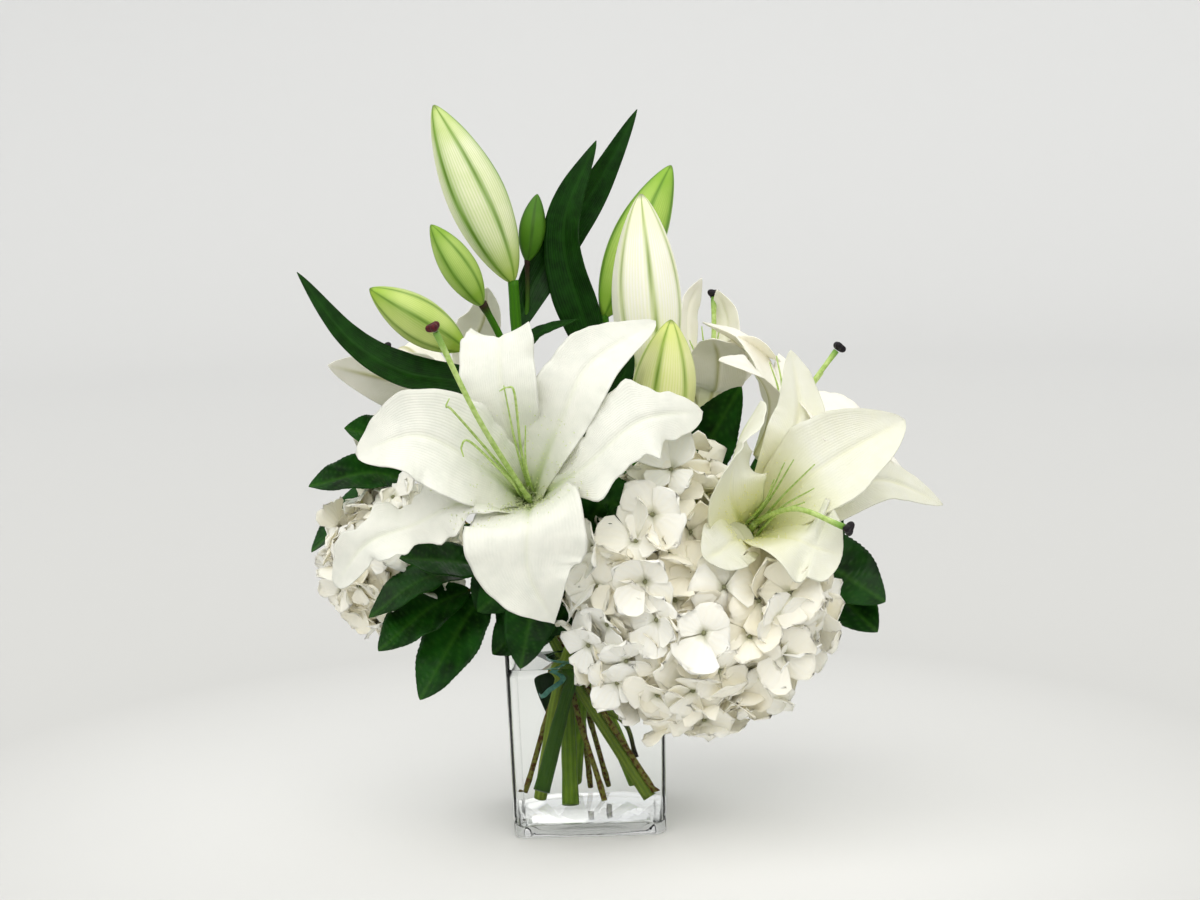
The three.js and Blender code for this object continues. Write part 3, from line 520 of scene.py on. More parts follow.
def linear(code: str) -> tuple[float, float, float, float]:
    """The linear colour of an sRGB hex code such as "F4F5F1", with full opacity."""
    parts = [int(code[k : k + 2], 16) / 255 for k in (0, 2, 4)]
    light = (p / 12.92 if p <= 0.04045 else ((p + 0.055) / 1.055) ** 2.4 for p in parts)
    return (*light, 1.0)


class Graph:
    """The node graph of one material.

    Attributes:
        material: the material.
        tree: its node tree.
        shader: its main shader.
        output: where its surface is joined.
    """

    def __init__(self, name: str, settings: Mapping[str | int, Any]) -> None:
        """Starts a material with its main shader alone.

        Args:
            name: of the material.
            settings: of the main shader.
        """
        self.material = bpy.data.materials.new(name)
        self.material.use_nodes = True
        self.tree = self.material.node_tree
        self.tree.nodes.clear()
        self.shader = self.node("ShaderNodeBsdfPrincipled", settings)
        self.output = self.node("ShaderNodeOutputMaterial", {}, {"Surface": self.shader.outputs[0]})

    def node(
        self,
        kind: str,
        settings: Mapping[str | int, Any] | None = None,
        links: Mapping[str | int, NodeSocket] | None = None,
    ) -> Node:
        """A shader node with its settings and links.

        Args:
            kind: the node's type.
            settings: inputs by name or number, or properties of the node by name.
            links: sockets that feed its inputs, by name or number.

        Returns:
            The node.
        """
        made = self.tree.nodes.new(kind)
        given = settings or {}
        properties = {key for key in given if isinstance(key, str) and hasattr(made, key)}
        for key in sorted(properties):
            setattr(made, key, given[key])
        for key in given:
            if key not in properties:
                made.inputs[key].default_value = given[key]
        for key, socket in (links or {}).items():
            self.tree.links.new(socket, made.inputs[key])
        return made

    def feed(self, name: str, socket: NodeSocket) -> None:
        """Joins a socket to an input of the main shader."""
        self.tree.links.new(socket, self.shader.inputs[name])

    def show(self, share: NodeSocket | float, other: NodeSocket) -> None:
        """Shows a share of another shader in place of so much of the main one."""
        settings = {0: share} if isinstance(share, float) else {}
        links = {} if isinstance(share, float) else {0: share}
        links |= {1: self.shader.outputs[0], 2: other}
        mixed = self.node("ShaderNodeMixShader", settings, links).outputs[0]
        self.tree.links.new(mixed, self.output.inputs["Surface"])

    def painted(self, name: str) -> NodeSocket:
        """The value painted on a piece under a name."""
        return self.node("ShaderNodeAttribute", {"attribute_name": name}).outputs["Fac"]

    def remapped(self, value: NodeSocket, low: float, high: float, top: float = 1.0) -> NodeSocket:
        """A value's range from low to high stretched to 0 to top, and clamped."""
        settings = {"From Min": low, "From Max": high, "To Max": top}
        return self.node("ShaderNodeMapRange", settings, {"Value": value}).outputs["Result"]

    def calculated(
        self, operation: str, *values: NodeSocket | float, clamp: bool = False
    ) -> NodeSocket:
        """The outcome of a calculation with sockets and numbers.

        Args:
            operation: what is done, as a math node calls it.
            values: what it is done with, in the node's order.
            clamp: whether the outcome is held between 0 and 1.

        Returns:
            The outcome.
        """
        settings: dict[str | int, Any] = {"operation": operation, "use_clamp": clamp}
        links: dict[str | int, NodeSocket] = {}
        for place, value in enumerate(values):
            (settings if isinstance(value, (int, float)) else links)[place] = value
        return self.node("ShaderNodeMath", settings, links).outputs[0]

    def product(self, value: NodeSocket, *factors: NodeSocket | float) -> NodeSocket:
        """A value multiplied by each factor in turn."""
        for factor in factors:
            value = self.calculated("MULTIPLY", value, factor)
        return value

    def layered(
        self, base: NodeSocket | str, *coats: tuple[NodeSocket, NodeSocket | str]
    ) -> NodeSocket:
        """A colour with others laid over it in turn.

        Args:
            base: the lowest colour, a socket or a hex code.
            coats: for each colour over it, how much of it shows, from 0 to 1, and the colour.

        Returns:
            The mixed colour.
        """
        for amount, coat in coats:
            settings: dict[str | int, Any] = {"data_type": "RGBA"}
            links: dict[str | int, NodeSocket] = {0: amount}
            for place, colour in ((6, base), (7, coat)):
                if isinstance(colour, str):
                    settings[place] = linear(colour)
                else:
                    links[place] = colour
            base = self.node("ShaderNodeMix", settings, links).outputs[2]
        return base

    def blotches(self, size_mm: float) -> NodeSocket:
        """A cloudy pattern from 0 to 1 through the piece, its blotches of one size."""
        place = self.node("ShaderNodeTexCoord").outputs["Object"]
        settings = {"Scale": 1000 / size_mm, "Detail": 2.0}
        return self.node("ShaderNodeTexNoise", settings, {"Vector": place}).outputs["Fac"]

    def bands(self, count: float, distortion: float) -> NodeSocket:
        """So many soft lengthwise bands across a piece's unwrapped pattern."""
        place = self.node("ShaderNodeTexCoord").outputs["UV"]
        settings = {"Scale": count * WAVE_SCALE, "Distortion": distortion, "Detail": 1.0}
        return self.node("ShaderNodeTexWave", settings, {"Vector": place}).outputs["Fac"]


@dataclass(frozen=True)
class Finish:
    """A finish: its name and the constants of its surface.

    Attributes:
        name: the material's name.
        roughness: of the surface.
        ior: index of refraction.
        bump_mm: height of its fine relief.
        soak: share of the light that goes through the outer tissue, from 0 to 1.
        soak_mm: how far that light wanders.
        gloss: strength of its mirror-like light, 0.5 for a bare smooth surface.
        thin: share of the light that a thin leaf of tissue lets through to its other side.
    """

    name: str
    roughness: float = 0.5
    ior: float = 1.45
    bump_mm: float = 0.1
    soak: float = 0.0
    soak_mm: float = 1.0
    gloss: float = 0.5
    thin: float = 0.0

    def started(self) -> Graph:
        """A new graph, whose main shader has the finish's constants."""
        settings = {"Roughness": self.roughness, "IOR": self.ior, "Specular IOR Level": self.gloss}
        if self.soak:
            settings |= {"Subsurface Weight": self.soak, "Subsurface Radius": (1.0, 0.9, 0.6)}
            settings["Subsurface Scale"] = self.soak_mm * MM
        return Graph(self.name, settings)

    def coloured(self, graph: Graph, colour: NodeSocket) -> None:
        """Gives the surface its colour, and lets some light through where the tissue is thin."""
        graph.feed("Base Color", colour)
        if self.thin:
            through = graph.node("ShaderNodeBsdfTranslucent", {}, {"Color": colour})
            graph.show(self.thin, through.outputs[0])

    def raised(self, graph: Graph, height: NodeSocket, strength: float = 0.5) -> None:
        """Gives the surface a fine relief, from its height between 0 and 1."""
        settings = {"Strength": strength, "Distance": self.bump_mm * MM}
        bump = graph.node("ShaderNodeBump", settings, {"Height": height})
        graph.feed("Normal", bump.outputs["Normal"])


@dataclass(frozen=True)
class PetalFinish(Finish):
    """Fresh lily petal: matt, slightly translucent tissue with fine lengthwise veins.

    Attributes:
        white: of the open surface.
        shade: of its faint blotches.
        throat: near the flower's middle.
        streak: of the groove along the midrib near the middle.
        rib: of the midrib on the back.
        reach: share of the length over which the throat's colour fades.
        edge: how much rougher the rim is than the middle.
    """

    white: str = "F6F6EC"
    shade: str = "E6E8DE"
    throat: str = "E8F0BE"
    streak: str = "A9C45C"
    rib: str = "B8C184"
    reach: float = 0.34
    edge: float = 0.05

    def material(self) -> Material:
        """The petal's material, from its painted share, midrib and back."""
        graph = self.started()
        share, back = graph.painted("share"), graph.painted("back")
        front = graph.calculated("SUBTRACT", 1.0, back)
        veins = graph.bands(34.0, 0.6)
        faint = graph.product(veins, graph.remapped(graph.blotches(12.0), 0.35, 0.7, 0.4))
        near = graph.product(graph.remapped(share, 0.46, 0.22), graph.painted("groove"))
        midrib = graph.product(graph.painted("midrib"), graph.remapped(share, 1.0, 0.85, 0.75))
        colour = graph.layered(
            self.white,
            (graph.remapped(graph.blotches(9.0), 0.35, 0.75, 0.55), self.shade),
            (faint, self.shade),
            (graph.remapped(share, self.reach, 0.12), self.throat),
            (graph.product(near, front, 0.85), self.streak),
            (graph.product(midrib, back), self.rib),
            (graph.product(midrib, front, 0.18), self.throat),
        )
        self.coloured(graph, colour)
        edge = graph.product(graph.painted("reach"), self.edge)
        graph.feed("Roughness", graph.calculated("ADD", edge, self.roughness))
        self.raised(graph, graph.calculated("ADD", veins, graph.blotches(1.2)), 0.4)
        return graph.material


@dataclass(frozen=True)
class BudFinish(Finish):
    """Closed lily bud: smooth waxy tissue, white to green, with green ribs and seams.

    Attributes:
        pale: between the ribs.
        mid: on the flanks, near the foot and the tip.
        green: of the ribs and seams.
        line: of the narrow grooves in ribs and seams.
        tip: of the very tip.
        lean: how green the whole bud is, from 0 to 1.
        show: how strongly its ribs show.
    """

    pale: str = "EDF1D9"
    mid: str = "B9D07A"
    green: str = "7FA83A"
    line: str = "53761F"
    tip: str = "4E6B22"
    lean: float = 0.3
    show: float = 0.95

    def material(self) -> Material:
        """The bud's material, from its painted ribs, ends and tip."""
        graph = self.started()
        veins = graph.bands(60.0, 0.5)
        ends = graph.calculated("ADD", graph.painted("ends"), self.lean)
        uneven = graph.calculated("MULTIPLY_ADD", graph.blotches(14.0), 0.5, -0.2)
        colour = graph.layered(
            self.pale,
            (graph.calculated("ADD", ends, uneven, clamp=True), self.mid),
            (graph.product(veins, 0.42), self.mid),
            (graph.product(graph.painted("rib"), self.show), self.green),
            (graph.product(graph.painted("line"), 0.85 * self.show), self.line),
            (graph.painted("tip"), self.tip),
        )
        self.coloured(graph, colour)
        self.raised(graph, veins)
        return graph.material


@dataclass(frozen=True)
class LeafFinish(Finish):
    """Fresh leaf: a dark waxy upper side with paler veins, and a duller, lighter underside.

    Attributes:
        green: of the upper side.
        deep: of its darker blotches.
        vein: of its veins and midrib.
        under: of the underside.
        bark: of the twig that the leaves stand on.
        scar: of the bark's darker spots.
    """

    green: str = "174A0C"
    deep: str = "062004"
    vein: str = "3A6A1C"
    under: str = "3A661E"
    bark: str = "8C8B3C"
    scar: str = "6A4420"

    def material(self) -> Material:
        """The leaf's material, from its painted veins, midrib and back, with the twig's bark."""
        graph = self.started()
        back, vein, wood = graph.painted("back"), graph.painted("vein"), graph.painted("wood")
        spots = graph.remapped(graph.blotches(2.5), 0.45, 0.6)
        colour = graph.layered(
            self.green,
            (graph.remapped(graph.blotches(16.0), 0.3, 0.7), self.deep),
            (graph.product(vein, 0.22), self.vein),
            (graph.product(back, 0.8), self.under),
            (graph.product(graph.painted("midrib"), 0.4), self.vein),
            (wood, graph.layered(self.bark, (spots, self.scar))),
        )
        self.coloured(graph, colour)
        dull = graph.calculated("MAXIMUM", back, wood)
        dull = graph.calculated("MULTIPLY_ADD", dull, 0.25, self.roughness)
        graph.feed("Roughness", dull)
        self.raised(graph, graph.calculated("MULTIPLY_ADD", vein, -0.6, graph.blotches(1.6)))
        return graph.material


LILY_LEAF = LeafFinish("lily_leaf", roughness=0.36, green="143C0A", deep="061F04", vein="245214")


@dataclass(frozen=True)
class StemFinish(Finish):
    """Fleshy green stem and its leaves: fine ridges, paler towards the cut foot.

    Attributes:
        green: of the stem.
        pale: of the stem under water.
        ridge: of its fine ridges.
        deep: painted shade for a stem that stands in the others' shade.
        dark: of a bud's purple-brown stalk.
        leaf: the finish whose colours its leaves take.
    """

    green: str = "3F7610"
    pale: str = "A2C83A"
    ridge: str = "2F5A1C"
    deep: str = "1A4A10"
    dark: str = "33201C"
    leaf: LeafFinish = LILY_LEAF

    def material(self) -> Material:
        """The stem's material, from its painted depth, darkness and leaves."""
        graph = self.started()
        ridges, veins = graph.bands(9.0, 0.3), graph.bands(18.0, 0.2)
        cloud = graph.remapped(graph.blotches(7.0), 0.3, 0.75)
        stem = graph.layered(
            self.green,
            (graph.painted("depth"), self.pale),
            (graph.product(cloud, 0.35), self.green),
            (graph.product(ridges, 0.35), self.ridge),
            # painted shade on the stems that stand in the others' shade
            (graph.painted("deep"), self.deep),
            (graph.painted("dark"), self.dark),
        )
        blade_green = graph.layered(
            self.leaf.green,
            (cloud, self.leaf.deep),
            (graph.product(veins, 0.3), self.leaf.vein),
            (graph.product(graph.painted("back"), 0.6), self.leaf.under),
            (graph.product(graph.painted("midrib"), 0.4), self.leaf.vein),
        )
        leaf = graph.painted("leaf")
        self.coloured(graph, graph.layered(stem, (leaf, blade_green)))
        gloss = graph.remapped(leaf, 1.0, 0.0, self.roughness - self.leaf.roughness)
        rough = graph.calculated("ADD", gloss, self.leaf.roughness)
        graph.feed("Roughness", rough)
        self.raised(graph, graph.calculated("ADD", ridges, veins), 0.4)
        return graph.material


@dataclass(frozen=True)
class FloretFinish(Finish):
    """Hydrangea florets: soft creamy white sepals with a faint warm tint towards the eye.

    Attributes:
        white: of the open sepals.
        cream: of the older florets, and painted warm shade on the deeper ones.
        eye: of the small centre and the stalks.
        bead: of the small dried flower in the middle.
    """

    white: str = "FFFFFA"
    cream: str = "FEF9E6"
    eye: str = "B5B684"
    bead: str = "7C7F62"

    def material(self) -> Material:
        """The florets' material, from how old each floret is with painted shade on the deeper ones, and
        from their eye and share.
        """
        graph = self.started()
        cloud = graph.blotches(22.0)
        # more cream on the deeper florets: painted warm shade
        age = graph.calculated("MULTIPLY_ADD", cloud, 0.55, graph.painted("age"), clamp=True)
        veins = graph.bands(9.0, 1.5)
        colour = graph.layered(
            self.white,
            (graph.remapped(age, 0.3, 1.1), self.cream),
            (graph.product(veins, 0.16), self.cream),
            (graph.remapped(graph.painted("share"), 0.22, 0.0, 0.6), self.eye),
            (graph.painted("eye"), self.eye),
            (graph.painted("bead"), self.bead),
        )
        self.coloured(graph, colour)
        self.raised(graph, veins)
        return graph.material


@dataclass(frozen=True)
class PlainFinish(Finish):
    """A finish of two colours in soft blotches, for the pistils, the stigmas and the tape.

    Attributes:
        light: the lighter colour.
        dark: the darker one.
        grain_mm: size of the blotches.
        tipped: colour of its painted end, if that differs.
    """

    light: str = "A9C46A"
    dark: str = "86A646"
    grain_mm: float = 3.0
    tipped: str = ""

    def material(self) -> Material:
        """The material, from its painted end."""
        graph = self.started()
        grain = graph.remapped(graph.blotches(self.grain_mm), 0.35, 0.65)
        colour = graph.layered(self.light, (grain, self.dark))
        if self.tipped:
            colour = graph.layered(colour, (graph.painted("end"), self.tipped))
        self.coloured(graph, colour)
        self.raised(graph, graph.blotches(self.grain_mm / 3), 0.4)
        return graph.material


@dataclass(frozen=True)
class SweepFinish(Finish):
    """Matt studio paper with painted light round the vase, where the shadows of the vase and bouquet fall,
    and painted shade that makes it a little greyer where it rises behind the vase.

    Attributes:
        foot: painted light under and beside the vase, where the vase's own shadow and the bouquet's shadow
            fall.
        near: round the vase.
        far: of the wall, a little darker as painted shade.
        painted_light_spot: distances in metres between which the first colour, the painted light, turns
            into the second.
        reach: distances in metres between which the second turns into the last.
    """

    # foot is painted light over the shadow round the vase; far is painted shade on the wall
    foot: str = "E9E9E7"
    near: str = "C4C4C2"
    far: str = "BDBEBF"
    painted_light_spot: tuple[float, float] = (0.1, 0.5)
    reach: tuple[float, float] = (0.6, 4.6)

    def material(self) -> Material:
        """The paper's material, from the distance to the vase."""
        graph = self.started()
        place = graph.node("ShaderNodeTexCoord").outputs["Object"]
        length = graph.node("ShaderNodeVectorMath", {"operation": "LENGTH"}, {0: place})
        away = length.outputs["Value"]
        near, far = graph.remapped(away, *self.painted_light_spot), graph.remapped(away, *self.reach)
        # painted light round the vase fades out, then painted shade rises towards the wall
        self.coloured(graph, graph.layered(self.foot, (near, self.near), (far, self.far)))
        return graph.material


@dataclass(frozen=True)
class ClearFinish(Finish):
    """A clear body such as pressed soda-lime glass or still water.

    Lamps shine through it as through plain air, so that what stands in it is lit evenly.

    Attributes:
        tint: its faint colour.
        shadow: what is left of a lamp's light behind one surface.
        patience: after so many turns, light caught between the walls goes straight on.
        mirror: tint of what it mirrors, grey for a room darker than the studio's light.
        deep: what is left, at each further surface, of light that is caught in the thick base.
    """

    tint: str = "F8FCFA"
    shadow: str = "F4F6F4"
    patience: float = 16.0
    mirror: str = "4E5652"
    deep: str = "C6D4CA"

    def material(self) -> Material:
        """The clear material."""
        graph = self.started()
        graph.shader.inputs["Base Color"].default_value = linear(self.tint)
        graph.shader.inputs["Transmission Weight"].default_value = 1.0
        graph.shader.inputs["Specular Tint"].default_value = linear(self.mirror)
        path = graph.node("ShaderNodeLightPath").outputs
        caught = graph.calculated("GREATER_THAN", path["Ray Depth"], self.patience)
        straight = graph.calculated("MAXIMUM", path["Is Shadow Ray"], caught)
        left = graph.layered(self.shadow, (caught, self.deep))
        onward = graph.node("ShaderNodeBsdfTransparent", {}, {"Color": left}).outputs[0]
        graph.show(straight, onward)
        return graph.material


# ---------------------------------------------------------------- the bouquet, as in the solids

# By stem: its radius and its knots, from its foot past the tie and the collar to its head.
# By stalk: the height that it grows from, its radius and its knots.
# By leaf: the height that it grows from, its width (and wave), where it looks, and its knots.
# By tepal: its width, wave and knots. A stem that stands in the others' shade gets painted shade, as much
# darker as its share tells.
STEMS: dict[str, tuple[float, tuple[Point, ...]]] = {
    "lily_stem_1": (4.2, (
        (18, 14, 22), (-5, 4, 103), (-20, -4, 165),
        (-31, -6, 262), (-37, -5, 312), (-39, -5, 357),
    )),
    "lily_stem_2": (4.2, (
        (-32, 20, 20), (-10, -2, 103), (6, 2, 165),
        (24, 4, 250), (21, 6, 292), (18, 5, 332),
    )),
    "lily_stem_3": (4.2, ((-27, -16, 30), (-8, -8, 103), (24, -14, 160), (72, -24, 186))),
    "lily_stem_4": (4.2, ((-2, -30, 17), (-10, 8, 103), (-8, 24, 165), (-12, 36, 235))),
    "hydrangea_stem_1": (3.4, ((-12, 34, 15.6), (-12, -6, 103), (18, -32, 160), (62, -68, 170))),
    "hydrangea_stem_2": (3.4, ((32, 0, 20), (-2, 2, 103), (-34, -6, 160), (-104, -32, 184))),
    "salal_sprig_1": (1.8, ((24, 30, 15), (-8, 10, 103), (-32, -28, 160), (-52, -48, 172))),
    "salal_sprig_2": (1.8, ((36, -16, 24), (0, 0, 103), (-36, 8, 160), (-92, -4, 214))),
    "salal_sprig_3": (1.8, ((-38, 2, 20), (-14, 0, 103), (36, 0, 160), (112, -14, 178))),
    "salal_sprig_4": (1.8, ((-16, 12, 15.8), (-12, 12, 103), (-8, -36, 160), (-12, -52, 176))),
    "salal_sprig_5": (1.8, ((8, -38, 18), (-4, 10, 103), (14, 38, 160), (30, 52, 226))),
}
# share of painted shade for each stem that stands in the others' shade
PAINTED_SHADE_STEMS = {"lily_stem_3": 0.85, "lily_stem_4": 0.35, "lily_stem_2": 0.1, "hydrangea_stem_2": 0.3}
STALKS: dict[str, tuple[tuple[float, float, tuple[Point, ...]], ...]] = {
    "lily_stem_1": (
        (184, 2.6, ((-25, -32, 200), (-28, -60, 218))),
        (284, 2.4, ((-47, -18, 320), (-58, -30, 345))),
        (258, 2.6, ((-53, -25, 295), (-70, -40, 319))),
        (306, 1.5, ((-31, 8, 338), (-30, 12, 369))),
    ),
    "lily_stem_2": (
        (228, 3, ((39, -12, 256), (49, -29, 284))),
        (205, 3, ((36, -24, 222), (47, -50, 248))),
    ),
    "lily_stem_3": (
        (184, 2.6, ((84, -38, 187), (98, -49, 190))),
        (180, 2.6, ((94, -12, 204), (117, 0, 235))),
    ),
    "hydrangea_stem_2": ((80, 1.6, ((24, -6, 67), (31, -9, 44))),),
    "lily_stem_4": (
        (232, 2.6, ((-42, 26, 264), (-70, 10, 279))),
        (205, 2.6, ((36, 42, 228), (83, 30, 252))),
    ),
}
LILY_LEAVES: dict[str, tuple[tuple[float, float, float, Point, tuple[Point, ...]], ...]] = {
    "lily_stem_2": (
        (286, 26, 1.5, (-0.5, -1, 0), ((6, 8, 328), (-6, 10, 388), (17, 10, 444))),
        (236, 20, 1, (0, -0.8, 0.5), ((-2, -20, 250), (-6, -42, 262))),
        (252, 26, 1, (0, -1, 0.1), ((22, -36, 262), (20, -66, 282), (36, -70, 314))),
        (214, 20, 1, (0, -0.7, 0.6), ((30, -14, 206), (22, -50, 214), (36, -66, 207))),
    ),
    "lily_stem_1": (
        (322, 23, 1, (0.2, -1, 0.2), ((-27, 16, 350), (-6, 22, 384), (16, 24, 414), (44, 24, 463))),
        (272, 20, 1, (0.1, -0.8, 0.5),
         ((-66, -24, 293), (-108, -32, 303), (-143, -32, 326), (-174, -30, 368))),
        (308, 9, 0, (0, -0.6, 0.8), ((-24, -2, 322), (2, -8, 331))),
    ),
    "hydrangea_stem_1": (
        (116, 32, 1, (0, -1, 0), ((-16, 24, 96), (-18, 34, 54))),
        (118, 24, 1, (0.2, -1, 0), ((4, 14, 98), (20, 18, 66))),
    ),
    "lily_stem_4": (
        (216, 24, 1, (0, -0.4, 1), ((-26, 66, 244), (-40, 92, 240), (-52, 112, 222))),
        (226, 24, 1, (0, -0.4, 1), ((12, 66, 252), (30, 96, 256), (44, 122, 240))),
    ),
}
SPRIG_LEAVES: dict[str, tuple[tuple[float, float, Point, tuple[Point, ...]], ...]] = {
    "salal_sprig_1": (
        (172, 38, (-0.4, -0.8, 0.5), ((-74, -66, 150), (-104, -76, 101))),
        (171, 32, (-0.3, -0.7, 0.6), ((-92, -66, 160), (-128, -84, 135))),
        (169, 24, (-0.2, -0.6, 0.8), ((-94, -66, 178), (-133, -82, 156))),
        (167, 26, (-0.1, -0.7, 0.7), ((-76, -66, 186), (-112, -88, 194))),
        (168, 26, (0, -1, 0.2), ((-52, -64, 188), (-72, -78, 212))),
    ),
    "salal_sprig_4": (
        (176, 30, (-0.2, -0.9, 0.3), ((-30, -62, 152), (-58, -64, 126))),
        (175, 30, (0.2, -1, 0.2), ((-6, -64, 164), (-22, -68, 138))),
        (173, 22, (0, -1, 0.3), ((-14, -60, 186), (10, -66, 196))),
        (172, 30, (-0.1, -1, 0.3), ((-36, -66, 176), (-66, -74, 156))),
        (173, 28, (0, -1, 0.1), ((-34, -54, 158), (-52, -56, 134))),
        (175, 30, (-0.1, -1, 0.2), ((-46, -62, 178), (-66, -64, 152))),
        (170, 26, (0.1, -1, 0.1), ((-26, -50, 150), (-38, -50, 122))),
        (174, 28, (-0.2, -1, 0.1), ((-30, -76, 158), (-40, -88, 122))),
        (176, 30, (0.2, -1, 0.2), ((0, -80, 200), (16, -106, 228), (40, -120, 216))),
    ),
    "salal_sprig_2": (
        (214, 26, (0, -0.7, 0.7), ((-128, -26, 238), (-170, -54, 235))),
        (212, 24, (0, -0.8, 0.5), ((-120, -22, 256), (-147, -44, 270))),
        (208, 26, (-0.3, -0.5, 0.8), ((-136, 24, 216), (-175, -16, 186))),
        (204, 34, (0, 0.4, 0.9), ((-96, 34, 212), (-112, 66, 198))),
    ),
    "salal_sprig_3": (
        (178, 42, (0.1, -0.8, 0.6), ((152, -26, 172), (193, -40, 147))),
        (177, 42, (0.1, -0.8, 0.5), ((150, -8, 160), (188, -38, 127))),
        (176, 28, (0.2, -0.9, 0.4), ((142, -18, 204), (168, -30, 184))),
        (174, 40, (0, 0.4, 0.9), ((120, 26, 180), (142, 60, 168))),
    ),
    "salal_sprig_5": (
        (226, 36, (-0.2, -0.9, 0.3), ((70, 6, 232), (105, -22, 286))),
        (218, 42, (0, 0.3, 1), ((66, 72, 216), (104, 88, 202))),
        (206, 44, (0, 0.3, 1), ((16, 84, 196), (8, 118, 174))),
        (194, 42, (0, 0.3, 1), ((-20, 74, 184), (-52, 96, 164))),
    ),
}
BLOOMS: dict[str, dict[str, Any]] = {
    "lily_a": {
        "seat": (-28, -60, 218), "axis": (-0.15, -0.89, 0.43), "tube": 27,
        "tepals": (
            (46, 1.5, ((-44, -110, 293), (-46, -96, 329), (-44, -66, 318))),
            (58, 1, ((-9, -112, 282), (10, -106, 314), (50, -70, 334))),
            (46, 2, ((4, -126, 254), (38, -130, 281), (76, -108, 282))),
            (74, 1, ((-31, -136, 222), (-31, -140, 192), (-17, -133, 160))),
            (38, 6, ((-70, -124, 234), (-99, -127, 222), (-128, -128, 211), (-149, -119, 184))),
            (60, 1, ((-62, -120, 258), (-95, -128, 276), (-133, -117, 264))),
        ),
        "style": ((-57, -140, 285), (-80, -150, 339)),
        "filaments": (
            (-42, -138, 305), (-36, -132, 299), (-72, -141, 291),
            (-63, -142, 273), (-30, -139, 281), (-52, -143, 262),
        ),
    },
    "lily_b": {
        "seat": (99, -50, 189), "axis": (0.33, -0.74, 0.59), "tube": 24,
        "tepals": (
            (36, 1, ((128, -78, 250), (138, -68, 276), (134, -54, 312))),
            (58, 1, ((138, -94, 236), (164, -88, 252), (203, -69, 268))),
            (36, 2, ((146, -72, 218), (190, -50, 228), (231, -35, 208))),
            (58, 1, ((128, -112, 204), (142, -118, 199), (158, -116, 193))),
            (46, 1, ((94, -110, 204), (84, -124, 200), (74, -134, 197))),
            (52, 0.5, ((92, -112, 234), (98, -112, 262), (112, -102, 287))),
        ),
        "style": ((131, -108, 221), (158, -130, 213)),
        "filaments": (
            (125, -105, 249), (131, -100, 250), (143, -108, 248),
            (142, -112, 234), (118, -112, 240), (136, -114, 226),
        ),
    },
    "lily_c": {
        "seat": (117, 0, 235), "axis": (0.57, -0.12, 0.81), "tube": 22,
        "first": (0, 1, 0.3),
        "style": ((151, -14, 286), (167, -10, 306)),
        "filaments": (
            (124, -12, 300), (149, -22, 284), (160, 6, 290),
            (146, 14, 296), (130, 8, 302), (136, -22, 292),
        ),
    },
    "lily_d": {
        "seat": (-70, 10, 279), "axis": (-0.62, 0.72, 0.3), "tube": 22,
        "tepals": (
            (42, 1, ((-98, 12, 288), (-122, 2, 295), (-160, -6, 306))),
            (30, 1, ((-100, 38, 300), (-114, 44, 310), (-124, 48, 302))),
            (38, 1, ((-74, 42, 304), (-62, 40, 328), (-58, 36, 350))),
            (46, 1, ((-76, 58, 282), (-60, 74, 286), (-44, 78, 276))),
            (32, 1, ((-84, 42, 266), (-82, 54, 248), (-90, 50, 228))),
            (34, 1, ((-108, 22, 268), (-130, 8, 258), (-146, -10, 262))),
        ),
        "style": ((-104, 50, 290), (-128, 76, 306)),
        "filaments": (
            (-112, 44, 306), (-98, 58, 306), (-94, 62, 288),
            (-104, 56, 276), (-114, 46, 278), (-118, 42, 292),
        ),
    },
    "lily_e": {
        "seat": (83, 30, 252), "axis": (0.1, 0.5, 0.86), "tube": 22,
        "tepals": (
            (40, 1, ((91, 24, 282), (92, 12, 304), (88, -8, 316))),
            (42, 1, ((100, 38, 286), (118, 30, 302), (134, 26, 296))),
            (30, 1, ((98, 62, 290), (102, 78, 318), (96, 82, 340))),
            (44, 1, ((88, 74, 284), (88, 98, 300), (86, 116, 292))),
            (30, 1, ((76, 60, 292), (76, 76, 326), (86, 84, 348))),
            (42, 1, ((68, 38, 286), (54, 34, 302), (40, 32, 306))),
        ),
        "style": ((92, 66, 306), (94, 88, 334)),
        "filaments": (
            (84, 56, 318), (96, 54, 316), (104, 62, 304),
            (76, 64, 308), (84, 74, 304), (98, 74, 304),
        ),
    },
}

# ---------------------------------------------------------------- stems and leaves


class StemKind(Enum):
    """What a stem is: it fixes its surface and its taper."""

    LILY = "lily"
    HYDRANGEA = "hydrangea"
    SALAL = "salal"

    @staticmethod
    def of(name: str) -> "StemKind":
        """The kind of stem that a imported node's name tells."""
        return next(kind for kind in StemKind if name.startswith(kind.value))


